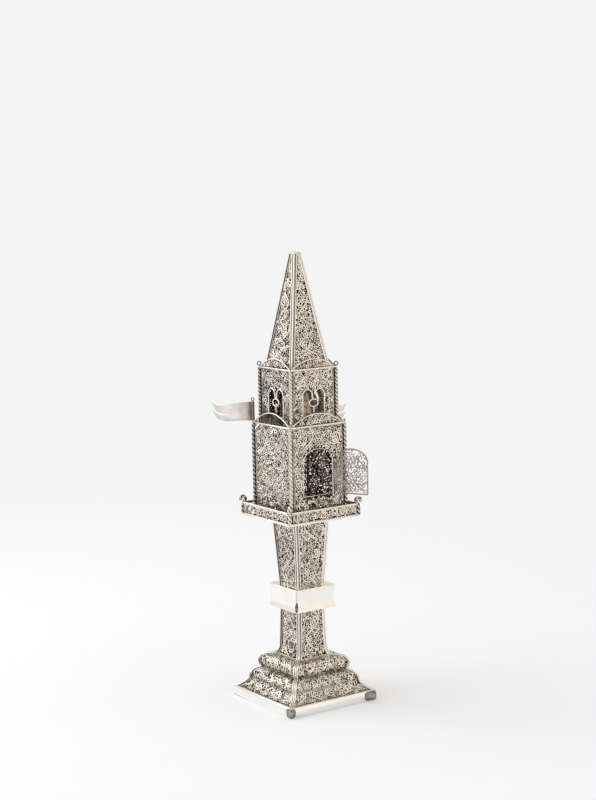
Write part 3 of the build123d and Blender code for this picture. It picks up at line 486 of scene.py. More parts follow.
@dataclass(frozen=True)
class PanelFace:
    """The front side of a square tier, unrolled: u runs along the side and s up its profile."""

    half: Array
    height: Array
    corner_gap: float

    @property
    def reach(self) -> Array:
        """How far up the profile each of its points lies."""
        steps = np.hypot(np.diff(self.half), np.diff(self.height))
        return np.concatenate([[0.0], np.cumsum(steps)])

    @property
    def length(self) -> float:
        """The profile's whole length."""
        return float(self.reach[-1])

    def width(self, s: Array) -> Array:
        """Half the panel's width at s, up to what stands at the corner."""
        return np.interp(s, self.reach, self.half) - self.corner_gap

    def outline(self, margin: float, count: int = 40) -> Array:
        """The panel's outline in (u, s), drawn in by a margin.

        Args:
            margin: How far it is drawn in.
            count: How many points each upright edge has.

        Returns:
            Points of shape (2 count, 2), up the right edge and down the left one.
        """
        s = np.linspace(margin, self.length - margin, count)
        right = np.stack([self.width(s) - margin, s], axis=-1)
        return np.concatenate([right, right[::-1] * np.array([-1.0, 1.0])])

    def place(self, flat: Array, lift: float | Array) -> tuple[Array, Array]:
        """Puts flat points on the panel: the point on the profile plus lift along its normal.

        Args:
            flat: Points in (u, s), of any shape ending in 2.
            lift: How far outwards of the panel's outer face they lie.

        Returns:
            The points in space and the panel's outward direction at each.
        """
        u, s = flat[..., 0], flat[..., 1]
        reach = self.reach
        out = np.gradient(self.height, reach)
        up = -np.gradient(self.half, reach)
        normal = unit(np.stack([0.0 * u, -np.interp(s, reach, out), np.interp(s, reach, up)], axis=-1))
        half, z = np.interp(s, reach, self.half), np.interp(s, reach, self.height)
        points = np.stack([u, -half, z], axis=-1) + np.asarray(lift)[..., None] * normal
        return points, normal

    def courses(self, s: Array, count: int = 12) -> Array:
        """Level lines across the panel from edge to edge, one at each s, of shape (lines, count, 2)."""
        t = np.linspace(-1.0, 1.0, count)
        return np.stack([self.width(s)[:, None] * t, np.broadcast_to(s[:, None], (len(s), count))], axis=-1)

    def wires(
        self, paths: Array, lift: float, across: float, depth: float, sides: int = 6, back: float = 0.8
    ) -> Skin:
        """Lays wires along flat paths.

        Args:
            paths: The wires' lines in (u, s), of shape (paths, steps, 2).
            lift: How far outwards of the panel's outer face they lie.
            across: Half a wire's width.
            depth: Half its depth.
            sides: How many points its section has.
            back: The tone at its back.

        Returns:
            The wires' skin.
        """
        points, normals = self.place(paths, lift)
        return sweep(points, normals, across, depth, sides, tones=(0.0, back))

    def selvage(self, sunk: float = 0.45, sheet: float = 0.25, tone: float = 0.8) -> Skin:
        """Two plain strips from the panel's upright edges to the corners, behind the columns, toned dark as
        painted shade.

        Args:
            sunk: How far they lie behind the panel's outer face.
            sheet: How thick they are.
            tone: Their tone.

        Returns:
            The closed skin.
        """
        s = np.linspace(0.0, self.length, 6)[:, None]
        across = np.linspace(-0.3, self.corner_gap - 0.2, 3)[None, :]
        flat = np.stack([self.width(s) + across, s + 0.0 * across], axis=-1)
        sides = [flat, flat[:, ::-1] * np.array([-1.0, 1.0])]
        faces = [(self.place(side, -sunk)[0], self.place(side, -sunk - sheet)[0]) for side in sides]
        return Skin.joined(slab(outer, inner, tone) for outer, inner in faces)

    def border(self, inset: float, lift: float, across: float, depth: float) -> Skin:
        """Lays four wires along the panel's edges.

        Args:
            inset: How far they are drawn in from the edges.
            lift: How far outwards of the panel's outer face they lie.
            across: Half a wire's width.
            depth: Half its depth.

        Returns:
            The wires' skin.
        """
        steps = 48
        s = np.linspace(inset, self.length - inset, steps)
        right = np.stack([self.width(s) - inset, s], axis=-1)
        left = right * np.array([-1.0, 1.0])
        t = np.linspace(0.0, 1.0, steps)[:, None]
        low = left[0] + t * (right[0] - left[0])
        high = left[-1] + t * (right[-1] - left[-1])
        return self.wires(np.stack([right, left, low, high]), lift, across, depth)

    def double_border(self) -> Skin:
        """A wire along the panel's edges, and a thinner one within it."""
        return Skin.joined([self.border(0.25, -0.3, 0.22, 0.34), self.border(1.0, -0.34, 0.16, 0.34)])


def flat_face(half: float, low: float, high: float, corner_gap: float) -> PanelFace:
    """The face of an upright panel."""
    return PanelFace(np.array([half, half]), np.array([low, high]), corner_gap)


@dataclass(frozen=True)
class Filigree:
    """Scrolls of flattened wire soldered together on edge: slim vines and small curls between them.

    A vine's wave and branches are shares of its column's width, and its sway is one of half that width.
    """

    pitch: float = 1.75
    curl: float = 0.95
    wander: float = 0.3
    turns: Pair = (0.65, 1.15)
    shrink: float = 0.6
    steps: int = 13
    across: float = 0.19
    depth: float = 0.34
    lift: float = -0.36
    lean: float = 0.3
    vine_across: float = 0.22
    vine_lift: float = -0.16
    tones: Pair = (0.0, 2.0)
    vine_tones: Pair = (0.0, 1.6)
    least_room: float = 0.3
    least_curl: float = 0.4
    edge_gap: float = 0.05
    curl_spread: Pair = (0.85, 1.12)
    vine_steps: int = 40
    vine_margin: Pair = (0.5, 0.4)
    wave: float = 1.5
    least_wave: float = 6.0
    sway: float = 0.6
    branch_aside: float = 0.18
    branch_reach: Pair = (0.2, 0.3)
    branch_turns: Pair = (0.7, 1.1)
    branch_shrink: float = 0.65

    def centres(self, outline: Array, rng: np.random.Generator) -> Array:
        """Places for curls: a honeycomb of points over the outline, each moved a little.

        Args:
            outline: The field's outline in (u, s).
            rng: The source of the small moves.

        Returns:
            Points of shape (n, 2).
        """
        low, high = outline.min(axis=0), outline.max(axis=0)
        rows = np.arange(low[1], high[1] + self.pitch, self.pitch * 0.87)
        columns = np.arange(low[0] - self.pitch, high[0] + self.pitch, self.pitch)
        u, s = np.meshgrid(columns, rows)
        u = u + (np.arange(len(rows)) % 2)[:, None] * self.pitch / 2.0
        points = np.stack([u, s], axis=-1).reshape(-1, 2)
        return points + rng.uniform(-self.wander, self.wander, points.shape)

    def curls(self, face: PanelFace, outline: Array, holes: list[Array], seed: int) -> Skin:
        """Fills a field with curls, smaller where the field's edge is near.

        A curl is centre + r (cos a, sin a) with r falling from its radius to less than half of it
        while a winds through about one turn.

        Args:
            face: The panel that carries them.
            outline: The field's outline in (u, s).
            holes: Outlines within it that stay free.
            seed: The seed of this panel's pattern.

        Returns:
            The curls' skin.
        """
        rng = np.random.default_rng(seed)
        centres = self.centres(outline, rng)
        room = inside_by(centres, outline)
        for hole in holes:
            room = np.minimum(room, -inside_by(centres, hole))
        kept = room > self.least_room
        centres, room = centres[kept], room[kept]
        count = len(centres)
        widest = self.curl * rng.uniform(*self.curl_spread, count)
        radius = np.clip(room - self.edge_gap, self.least_curl, widest)
        t = np.linspace(0.0, 1.0, self.steps)
        hand = rng.choice([Hand.RIGHT.value, Hand.LEFT.value], count)
        winding = hand * rng.uniform(*self.turns, count)
        angle = rng.uniform(0.0, FULL_TURN, count)[:, None] + FULL_TURN * winding[:, None] * t
        reach = radius[:, None] * (1.0 - self.shrink * t)
        flat = centres[:, None] + reach[..., None] * np.stack([np.cos(angle), np.sin(angle)], axis=-1)
        lean = rng.uniform(-self.lean, self.lean, (count, 1, 2))
        lift = self.lift + (lean * (flat - centres[:, None])).sum(axis=-1)
        points, normals = face.place(flat, lift)
        along = np.array([1.0, 0.0, 0.0])
        upward = np.cross(normals, along)
        leaning = unit(normals - lean[..., :1] * along - lean[..., 1:] * upward)
        return sweep(points, leaning, self.across, self.depth, tones=self.tones)

    def vines(
        self,
        face: PanelFace,
        low: float,
        high: float,
        columns: int,
        seed: int,
        holes: Iterable[Array] = (),
    ) -> Skin:
        """Lays slim vines up a panel: a waving stem in each column, with a hooked branch at each bend.

        A stem is u = middle + sway sin(2 pi s / wave + phase), and a branch is a curl of about one turn.

        Args:
            face: The panel that carries them.
            low: Where the vines start, in s.
            high: Where they end.
            columns: How many stand side by side.
            seed: The seed of this panel's pattern.
            holes: Outlines that stay free: a stem or branch that would enter one is left out.

        Returns:
            The vines' skin.
        """
        rng = np.random.default_rng(seed)
        t = np.linspace(0.0, 1.0, self.vine_steps)
        wide = 2.0 * float(face.width(np.array((low + high) / 2.0))) / columns
        wave = max(self.wave * wide, self.least_wave)
        paths = []
        for share in (np.arange(columns) + 0.5) * 2.0 / columns - 1.0:
            phase = rng.uniform(0.0, FULL_TURN)
            for start in np.arange(low, high, wave / 2.0):
                s = start + t * (min(start + wave / 2.0, high) - start)
                sway = self.sway / columns * np.sin(FULL_TURN * s / wave + phase)
                paths.append(np.stack([face.width(s) * (share + sway), s], axis=-1))
                hand = rng.choice([Hand.LEFT.value, Hand.RIGHT.value])
                bend = s[self.vine_steps // 2]
                middle = np.array([face.width(bend) * share + hand * self.branch_aside * wide, bend])
                reach = wide * rng.uniform(*self.branch_reach) * (1.0 - self.branch_shrink * t)
                angle = rng.uniform(0.0, FULL_TURN) + hand * FULL_TURN * rng.uniform(*self.branch_turns) * t
                paths.append(middle + reach[:, None] * np.stack([np.cos(angle), np.sin(angle)], axis=-1))
        kept = np.stack(paths)
        for hole in holes:
            inside = inside_by(kept.reshape(-1, 2), hole).reshape(kept.shape[:2])
            kept = kept[(inside < 0.0).all(axis=1)]
        beside, end = self.vine_margin
        edge = face.width(kept[..., 1]) - beside
        kept[..., 0] = np.clip(kept[..., 0], -edge, edge)
        kept[..., 1] = np.clip(kept[..., 1], end, face.length - end)
        points, normals = face.place(kept, self.vine_lift)
        return sweep(points, normals, self.vine_across, self.depth, tones=self.vine_tones)


FINE = Filigree()
CLOSE = Filigree(pitch=1.35, curl=0.9, across=0.26)
LIGHT_CLOSE = Filigree(pitch=1.5, curl=0.9, across=0.22, tones=(0.1, 0.3))
SEEN_INSIDE = Filigree(across=0.21, tones=(0.0, 0.85))


def filigree_panel(
    face: PanelFace,
    seed: int,
    columns: int,
    holes: list[Array],
    pattern: Filigree,
    margin: float = 0.6,
    selvage: bool = True,
) -> Skin:
    """A whole filigree panel: curls, vines and a double border wire.

    Args:
        face: The panel's face.
        seed: The seed of its pattern.
        columns: How many vines stand side by side.
        holes: Outlines in (u, s) that stay free.
        pattern: Its curls and vines.
        margin: How far the field is drawn in from the panel's edge.
        selvage: Whether plain strips run from its upright edges to the corners.

    Returns:
        The panel's skin.
    """
    parts = [
        pattern.curls(face, face.outline(margin), holes, seed),
        pattern.vines(face, margin, face.length - margin, columns, seed, holes),
        face.double_border(),
    ]
    if selvage:
        parts.append(face.selvage())
    return Skin.joined(parts)


ROPE_SIDES = 16
ROPE_RINGS_PER_TURN = 14
ROPE_WAIST = 0.6
ROPE_GROOVE_TONE = 1.3


def rope(line: Array, aside: Array, radius: float | Array, pitch: float) -> Skin:
    """Two wires twisted left-handed round each other along a line that lies in one plane.

    The outline round the line is r = radius (waist + (1 - waist) |cos(a + 2 pi s / pitch)|) at s along it.

    Args:
        line: The line's points, of shape (n, 3).
        aside: The direction square to the line's plane.
        radius: The rope's outer radius, one value or one per point.
        pitch: How long one turn is.

    Returns:
        The closed skin.
    """
    lift = np.cross(unit(np.gradient(line, axis=0)), aside)[:, None]
    steps = np.linalg.norm(np.diff(line, axis=0), axis=1)
    s = np.concatenate([[0.0], np.cumsum(steps)])[:, None]
    angle = FULL_TURN * np.arange(ROPE_SIDES) / ROPE_SIDES
    lobe = np.abs(np.cos(angle + FULL_TURN * s / pitch))
    reach = np.broadcast_to(radius, len(line))[:, None] * (ROPE_WAIST + (1.0 - ROPE_WAIST) * lobe)
    round_it = np.cos(angle)[:, None] * aside + np.sin(angle)[:, None] * lift
    return tube(line[:, None] + reach[..., None] * round_it, ROPE_GROOVE_TONE * (1.0 - lobe))


def rope_column(centre: float, low: float, high: float, radius: float, pitch: float) -> Skin:
    """An upright rope over the front left corner.

    Args:
        centre: How far from the tower's axis it stands, both ways.
        low: The height of its foot.
        high: The height of its head.
        radius: Its outer radius.
        pitch: How long one turn is.

    Returns:
        The closed skin.
    """
    count = max(int((high - low) / pitch * ROPE_RINGS_PER_TURN), 6)
    line = np.linspace((-centre, -centre, low), (-centre, -centre, high), count)
    return rope(line, np.array([1.0, 0.0, 0.0]), radius, pitch)


def loop_of_wire(radius: float, wire: float, heading: float) -> Skin:
    """A ring of round wire standing on z = 0.

    Args:
        radius: The ring's radius, to the middle of the wire.
        wire: The wire's radius.
        heading: The ring's turn about Z in degrees, from the plane y = 0.

    Returns:
        The closed skin.
    """
    angle = FULL_TURN * np.arange(24) / 24
    out = np.stack([np.cos(angle), 0.0 * angle, np.sin(angle)], axis=-1)
    path = out * radius + np.array([0.0, 0.0, radius + wire])
    return sweep(path[None], out[None], wire, wire, 8, closed=True, tones=(0.1, 0.4)).turned(heading)


def bead(radius: float) -> Skin:
    """A soldered bead that stands out of the plane y = 0 towards -Y: most of a ball.

    Args:
        radius: The ball's radius.

    Returns:
        The closed skin.
    """
    angle = np.radians(np.linspace(-50.0, 88.0, 9))
    lift = np.sin(angle) - math.sin(angle[0])
    ball = revolve(np.stack([radius * np.cos(angle), radius * lift], axis=-1), 14)
    facing = np.array([[1.0, 0.0, 0.0], [0.0, 0.0, 1.0], [0.0, -1.0, 0.0]])
    return Skin(ball.points @ facing, ball.quads, ball.tone)


def straight_wire(start: Array, end: Array, radius: float, sides: int = 8) -> Skin:
    """A straight round wire between two points.

    Args:
        start: The first point.
        end: The last point.
        radius: The wire's radius.
        sides: How many points its section has.

    Returns:
        The closed skin.
    """
    path = np.stack([start, end])[None]
    aside = np.cross(end - start, np.array([0.31, 0.52, 0.79]))
    normals = np.broadcast_to(unit(aside), path.shape)
    return sweep(path, normals, radius, radius, sides, tones=(0.1, 0.1))


def rolled_tube(inside: float, outside: float, height: float, bevel: float, tone: float) -> Skin:
    """A short tube rolled from sheet, standing on z = 0 with bevelled ends.

    Args:
        inside: The radius of its bore.
        outside: Its outer radius.
        height: Its length.
        bevel: How far its outer edges are taken off.
        tone: Its tone.

    Returns:
        The closed skin.
    """
    foot = [(inside, 0.0), (outside - bevel, 0.0), (outside, bevel)]
    head = [(outside, height - bevel), (outside - bevel, height), (inside, height)]
    return revolve(np.array(foot + head), 20, closed=True, tone=tone)


def upright_sheet(x: Array, y: Pair, z: Array, tone: float) -> Skin:
    """A flat sheet that stands along X.

    Args:
        x: Its columns, along X.
        y: Where its outer face and its inner face lie.
        z: Its rows, upwards.
        tone: Its tone.

    Returns:
        The closed skin.
    """
    across, up = np.meshgrid(x, z, indexing="ij")
    outer, inner = (np.stack([across, np.full(across.shape, depth), up], axis=-1) for depth in y)
    return slab(outer, inner, tone)


# Finishes


def map_range(nodes: bpy.types.Nodes, source: Pair, target: Pair = (0.0, 1.0)) -> bpy.types.Node:
    """Adds a node that carries one range of values to another.

    Args:
        nodes: The nodes that it joins.
        source: The range that comes in.
        target: The range that goes out.

    Returns:
        The node.
    """
    made = nodes.new("ShaderNodeMapRange")
    made.inputs["From Min"].default_value, made.inputs["From Max"].default_value = source
    made.inputs["To Min"].default_value, made.inputs["To Max"].default_value = target
    return made


@dataclass(frozen=True)
class Silver:
    """A silver surface: bright metal that darkens with tone and in drifting patches.

    Scales are lengths in millimetres: the size of a patch, and the size of a dent or grain.
    """

    name: str
    bright: Triple
    dark: Triple
    roughness: Pair
    tone_share: float
    patch_share: float
    patch_size: float
    grain_size: float
    grain_depth: float
    grain_strength: float

    def material(self) -> bpy.types.Material:
        """Makes the material once, and finds it again later.

        Returns:
            The node material.
        """
        found = bpy.data.materials.get(self.name)
        if found:
            return found
        made = bpy.data.materials.new(self.name)
        made.use_nodes = True
        nodes, links = made.node_tree.nodes, made.node_tree.links
        shader = nodes["Principled BSDF"]
        shader.inputs["Metallic"].default_value = 1.0
        place = nodes.new("ShaderNodeTexCoord").outputs["Object"]
        patches = self.noise(nodes, links, place, self.patch_size, 3.0)
        grain = self.noise(nodes, links, place, self.grain_size, 2.0)
        tone = nodes.new("ShaderNodeAttribute")
        tone.attribute_name = "tone"
        spread = map_range(nodes, (0.3, 0.7), (-0.5 * self.patch_share, self.patch_share))
        links.new(patches, spread.inputs["Value"])
        share = nodes.new("ShaderNodeMath")
        share.operation = "MULTIPLY_ADD"
        share.use_clamp = True
        share.inputs[1].default_value = self.tone_share
        links.new(tone.outputs["Fac"], share.inputs[0])
        links.new(spread.outputs["Result"], share.inputs[2])
        colour = nodes.new("ShaderNodeMix")
        colour.data_type = "RGBA"
        colour.inputs["A"].default_value = (*self.bright, 1.0)
        colour.inputs["B"].default_value = (*self.dark, 1.0)
        links.new(share.outputs["Value"], colour.inputs["Factor"])
        links.new(colour.outputs["Result"], shader.inputs["Base Color"])
        polish = map_range(nodes, (0.0, 1.0), self.roughness)
        links.new(share.outputs["Value"], polish.inputs["Value"])
        links.new(polish.outputs["Result"], shader.inputs["Roughness"])
        bump = nodes.new("ShaderNodeBump")
        bump.inputs["Strength"].default_value = self.grain_strength
        bump.inputs["Distance"].default_value = self.grain_depth * MM
        links.new(grain, bump.inputs["Height"])
        links.new(bump.outputs["Normal"], shader.inputs["Normal"])
        return made

    @staticmethod
    def noise(
        nodes: bpy.types.Nodes,
        links: bpy.types.NodeLinks,
        place: bpy.types.NodeSocket,
        size: float,
        detail: float,
    ) -> bpy.types.NodeSocket:
        """Adds a noise pattern.

        Args:
            nodes: The material's nodes.
            links: The material's links.
            place: The socket that gives the place on the piece.
            size: The size of a feature, in millimetres.
            detail: How many finer layers the pattern has.

        Returns:
            The socket with the pattern's value.
        """
        noise = nodes.new("ShaderNodeTexNoise")
        noise.inputs["Scale"].default_value = 1.0 / (size * MM)
        noise.inputs["Detail"].default_value = detail
        links.new(place, noise.inputs["Vector"])
        return noise.outputs["Fac"]


FILIGREE = Silver(
    "filigree_silver",
    bright=(0.98, 0.90, 0.80), dark=(0.05, 0.036, 0.024), roughness=(0.3, 0.6), tone_share=1.2,
    patch_share=0.14, patch_size=7.0, grain_size=0.35, grain_depth=0.05, grain_strength=0.5,
)
WIRE = Silver(
    "drawn_wire",
    bright=(0.97, 0.92, 0.85), dark=(0.16, 0.12, 0.085), roughness=(0.22, 0.5), tone_share=0.8,
    patch_share=0.1, patch_size=5.0, grain_size=0.4, grain_depth=0.03, grain_strength=0.4,
)
ROPE = Silver(
    "twisted_wire",
    bright=(0.82, 0.76, 0.68), dark=(0.05, 0.04, 0.03), roughness=(0.25, 0.55), tone_share=1.0,
    patch_share=0.12, patch_size=5.0, grain_size=0.4, grain_depth=0.03, grain_strength=0.4,
)
POLISHED = Silver(
    "polished_sheet",
    bright=(0.97, 0.945, 0.905), dark=(0.55, 0.5, 0.44), roughness=(0.1, 0.3), tone_share=0.4,
    patch_share=0.12, patch_size=9.0, grain_size=4.0, grain_depth=0.05, grain_strength=0.25,
)
FLAG_SHEET = Silver(
    "flag_sheet",
    bright=(0.90, 0.85, 0.79), dark=(0.24, 0.19, 0.15), roughness=(0.16, 0.34), tone_share=1.0,
    patch_share=0.24, patch_size=5.0, grain_size=5.0, grain_depth=0.3, grain_strength=0.5,
)
TONED = Silver(
    "toned_sheet",
    bright=(0.6, 0.54, 0.45), dark=(0.12, 0.09, 0.065), roughness=(0.3, 0.55), tone_share=0.9,
    patch_share=0.3, patch_size=6.0, grain_size=1.2, grain_depth=0.05, grain_strength=0.3,
)
SOLDER = Silver(
    "grey_solder",
    bright=(0.46, 0.44, 0.41), dark=(0.08, 0.07, 0.06), roughness=(0.35, 0.6), tone_share=0.8,
    patch_share=0.5, patch_size=1.1, grain_size=0.6, grain_depth=0.2, grain_strength=0.9,
)
# The bell's dark brown silver: partly tarnish, partly painted shade of the dark chamber round it.
BELL_TARNISH_AND_SHADE = Silver(
    "bell_sheet",
    bright=(0.44, 0.36, 0.28), dark=(0.11, 0.08, 0.055), roughness=(0.2, 0.4), tone_share=0.5,
    patch_share=0.3, patch_size=5.0, grain_size=1.5, grain_depth=0.05, grain_strength=0.3,
)


class Bench:
    """Puts finished skins into the scene, on the body of the node that each stands for."""

    def __init__(self, packed: dict) -> None:
        """Reads which body and which material slot each CAD node has.
        """
        record = packed["record"]
        self.body = {node: body for body, nodes in record["behaviour"]["bodies"].items() for node in nodes}
        self.slot = {row["node"]: row["material_slot"] for row in record["subparts"]}
        self.nodes = packed["nodes"]

    def mesh(self, name: str, skin: Skin, finish: Silver, crease: Crease) -> bpy.types.Object:
        """Makes an object from a skin.

        Args:
            name: The object's name.
            skin: Its surface, in millimetres.
            finish: Its finish.
            crease: Which of its edges stay sharp.

        Returns:
            The object, linked into the scene.
        """
        data = bpy.data.meshes.new(name)
        count = len(skin.quads)
        data.vertices.add(len(skin.points))
        data.vertices.foreach_set("co", (skin.points * MM).astype(np.float32).ravel())
        data.loops.add(4 * count)
        data.loops.foreach_set("vertex_index", skin.quads.astype(np.int32).ravel())
        data.polygons.add(count)
        data.polygons.foreach_set("loop_start", np.arange(0, 4 * count, 4, dtype=np.int32))
        data.polygons.foreach_set("use_smooth", np.ones(count, dtype=bool))
        tone = data.attributes.new("tone", "FLOAT", "POINT")
        tone.data.foreach_set("value", skin.tone.astype(np.float32))
        data.update(calc_edges=True)
        data.set_sharp_from_angle(angle=math.radians(crease.value))
        data.materials.append(finish.material())
        made = bpy.data.objects.new(name, data)
        bpy.context.scene.collection.objects.link(made)
        return made

    def stand_for(self, node: str, skin: Skin, finish: Silver, crease: Crease = Crease.WIRE) -> None:
        """Adds a piece that stands for a CAD node, and takes its body.

        Args:
            node: The CAD node's name.
            skin: The piece's surface.
            finish: Its finish.
            crease: Which of its edges stay sharp.
        """
        made = self.mesh(f"{node}_made", skin, finish, crease)
        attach(made, self.body[node])
        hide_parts(node)
        log.info("%s: %d faces on %s", made.name, len(skin.quads), self.body[node])

    def add(self, name: str, beside: str, skin: Skin, finish: Silver) -> None:
        """Adds a small piece that no CAD node has.

        Args:
            name: The piece's name.
            beside: The CAD node beside it, whose body it takes.
            skin: Its surface.
            finish: Its finish.
        """
        made = self.mesh(name, skin, finish, Crease.WIRE)
        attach(made, self.body[beside])
        log.info("%s: %d faces beside %s", name, len(skin.quads), beside)

    def dress(self, node: str, finish: Silver) -> None:
        """Gives a finish to a CAD node that stays as it is.

        Args:
            node: The CAD node's name.
            finish: Its finish.
        """
        slots = self.nodes[node].data.materials
        slots.clear()
        slots.append(finish.material())
        log.info("%s: kept, %s", node, finish.name)

    def four_panels(self, name: str, panels: list[Skin], finish: Silver) -> None:
        """Adds one panel per side, each turned to its place."""
        for side, skin in zip(Side, panels):
            self.stand_for(f"{name}_{side.word}", skin.turned(side.value), finish)


def four_ways(front: Skin) -> Skin:
    """The same skin on all four sides."""
    return Skin.joined(front.turned(side.value) for side in Side)


# How much darker the wires of each corner are, named by the side that starts at it: partly wear, partly
# painted shade and painted highlight.
COLUMN_WEAR_AND_SHADE = {Side.FRONT: -0.35, Side.RIGHT: -0.1, Side.BACK: 0.25, Side.LEFT: 0.15}
POST_WEAR_AND_SHADE = {Side.FRONT: -0.3, Side.RIGHT: 0.05, Side.BACK: 0.25, Side.LEFT: 0.3}
WIRE_WEAR_AND_SHADE = {Side.FRONT: -0.35, Side.RIGHT: -1.0, Side.BACK: 0.0, Side.LEFT: 0.4}


def weathered(near: Skin, wear_and_shade: dict[Side, float]) -> Skin:
    """The near corner's skin on all four corners, each darker or brighter by its wear and painted shade."""
    return Skin.joined(near.turned(side.value).darker(wear_and_shade[side]) for side in Side)


def left_darker(skin: Skin, side: Side, by: float) -> Skin:
    """One side's skin with painted shade, darker by an amount if it is the left side's."""
    return skin.darker(by if side is Side.LEFT else 0.0)


# Sub-assemblies, from the foot upwards


@dataclass
class FootRim:
    """The polished rim that the tower stands on, with old grey solder at two corners."""

    half: float = 26.5
    height: float = 5.2
    wall: float = 1.0
    edge: float = 0.22
    corner: float = 0.35
    pad_lift: float = 0.32
    pad_sunk: float = 0.12
    pad_share: float = 0.47
    pad_rows: int = 8
    near_pad: Pair = (-4.2, 2.8)
    right_pad: Pair = (-1.2, 7.2)

    def rim(self) -> Skin:
        """A square ring whose profile has softened edges.

        Returns:
            The closed skin.
        """
        half, inner, top, e = self.half, self.half - self.wall, self.height, self.edge
        outside = [(half - e, 0.0), (half, e), (half, top - e), (half - e, top)]
        inside = [(inner + e, top), (inner, top - e), (inner, e), (inner + e, 0.0)]
        return square_ring(np.array(outside + inside), self.corner, 0.0)

    def corner_pad(self, start: float, end: float) -> Skin:
        """A rounded lens of solder wrapped round the front left corner.

        In the unrolled rim it is the rounded square |q|^4 + |v|^4 = p^4, p running from its middle to
        its edge, and it stands off the rim by lift (1 - p^4).

        Args:
            start: Where it starts, in millimetres from the corner, negative on the left side.
            end: Where it ends, positive on the front side.

        Returns:
            The closed skin.
        """
        p = np.concatenate([np.linspace(0.05, 1.0, self.pad_rows), [0.9, 0.05]])[:, None]
        turn = FULL_TURN * np.arange(32) / 32
        spread = p * (np.cos(turn) ** 4 + np.sin(turn) ** 4) ** -0.25
        along = (start + end) / 2.0 + (end - start) / 2.0 * spread * np.cos(turn)
        z = self.height * (0.5 + self.pad_share * spread * np.sin(turn))
        outside = np.arange(len(p))[:, None] < self.pad_rows
        lift = np.where(outside, self.pad_lift * (1.0 - p**4), -self.pad_sunk)
        round_corner = np.clip(along + 0.5, 0.0, 1.0) * math.pi / 2.0
        out = np.stack([-np.cos(round_corner), -np.sin(round_corner), 0.0 * along], axis=-1)
        x = -self.half + np.maximum(along, 0.0)
        y = -self.half + np.maximum(-along, 0.0)
        tone = np.linspace(0.0, 0.9, len(p))[:, None]
        return tube(np.stack([x, y, z], axis=-1) + lift[..., None] * out, tone).faced_out()

    def build(self, bench: Bench) -> None:
        """Adds the rim and its two patches of solder.

        Args:
            bench: Where the pieces go.
        """
        bench.stand_for("foot_rim", self.rim(), POLISHED, Crease.SHEET)
        bench.add("solder_near_corner", "foot_rim", self.corner_pad(*self.near_pad), SOLDER)
        far = self.corner_pad(*self.right_pad)
        flipped = Skin(far.points * np.array([-1.0, 1.0, 1.0]), far.quads[:, ::-1], far.tone)
        bench.add("solder_right_corner", "foot_rim", flipped, SOLDER)


@dataclass
class MouldedBase:
    """Four moulded filigree sides over the rim, with wires down their mitres."""

    toe: Pair = (25.9, 5.2)
    cove: Pair = (20.4, 10.2)
    lower_roll: Pair = (16.4, 15.8)
    groove: Pair = (15.6, 16.2)
    upper_roll: Pair = (15.2, 22.6)
    shoulder: Pair = (11.0, 23.4)
    seat: Pair = (10.0, 23.4)
    cove_sag: float = 0.75
    lower_crown: float = 1.1
    upper_crown: float = 1.5
    wire: float = 0.36
    wire_pitch: float = 0.85
    corner_gap: float = 0.75
    bare_head: float = 4.5
    # Painted shade: how much darker the left side is drawn.
    tarnish: float = 0.12
    # Painted shade in the moulding's two folds: crease is its strength, crease_half its half width.
    crease: float = 0.36
    crease_half: float = 0.8
    curl_seed: int = 20
    vine_seed: int = 40

    def profile(self) -> Array:
        """The moulding in (half, z): cove, roll, groove, roll, shoulder and seat."""
        parts = [
            bow(self.toe, self.cove, self.cove_sag)[:-1],
            bow(self.cove, self.lower_roll, -self.lower_crown, 13)[:-1],
            bow(self.lower_roll, self.groove, 0.0, 3)[:-1],
            bow(self.groove, self.upper_roll, -self.upper_crown, 13)[:-1],
            bow(self.upper_roll, self.shoulder, -0.2, 5)[:-1],
            bow(self.shoulder, self.seat, 0.0, 3),
        ]
        return np.concatenate(parts)

    def face(self) -> PanelFace:
        """The moulding as a panel."""
        line = self.profile()
        return PanelFace(line[:, 0], line[:, 1], self.corner_gap)

    def course_wires(self, face: PanelFace) -> Skin:
        """Wires along the moulding's breaks, from mitre to mitre.

        Args:
            face: The moulding as a panel.

        Returns:
            The wires' skin.
        """
        line = self.profile()
        marks = np.array([self.cove, self.groove, self.shoulder])
        breaks = [np.argmin(np.hypot(*(line - mark).T)) for mark in marks]
        return face.wires(face.courses(face.reach[breaks]), -0.2, 0.2, 0.3)

    def mitre(self) -> Skin:
        """Three thin wires side by side down the front left mitre.

        Returns:
            The wires' skin.
        """
        line = spline(self.profile(), 70)
        corner = np.stack([-line[:, 0], -line[:, 0], line[:, 1]], axis=-1)
        aside = np.array([1.0, -1.0, 0.0]) / math.sqrt(2.0) * self.wire_pitch
        paths = np.stack([corner, corner + aside, corner - aside])
        out = np.broadcast_to(unit(np.array([-1.0, -1.0, 0.4])), paths.shape)
        return sweep(paths, out, self.wire, self.wire, 8, tones=(0.0, 0.5))

    def creased(self, panel: Skin) -> Skin:
        """Paints shade into a side's two folds, by crease exp(-((z - fold) / crease_half)^2) at each.

        Args:
            panel: One side of the base.

        Returns:
            The side, with painted shade above the cove and under the upper roll.
        """
        folds = np.array([self.cove[1] + 0.2, self.groove[1]])
        away = (panel.points[:, 2:] - folds) / self.crease_half
        return panel.darker(self.crease * np.exp(-(away**2)).sum(axis=1))

    def build(self, bench: Bench) -> None:
        """Adds the four sides and the mitre wires.

        Args:
            bench: Where the pieces go.
        """
        face = self.face()
        panels = []
        for index, side in enumerate(Side):
            scrolls = FINE.vines(face, 0.8, face.length - self.bare_head, 5, self.vine_seed + index)
            curls = FINE.curls(face, face.outline(0.5), [], self.curl_seed + index)
            edge = face.border(0.3, -0.3, 0.2, 0.32)
            panel = Skin.joined([curls, scrolls, edge, self.course_wires(face)])
            panels.append(left_darker(self.creased(panel), side, self.tarnish))
        bench.four_panels("base_panel", panels, FILIGREE)
        bench.stand_for("base_corner_wires", four_ways(self.mitre()), WIRE)


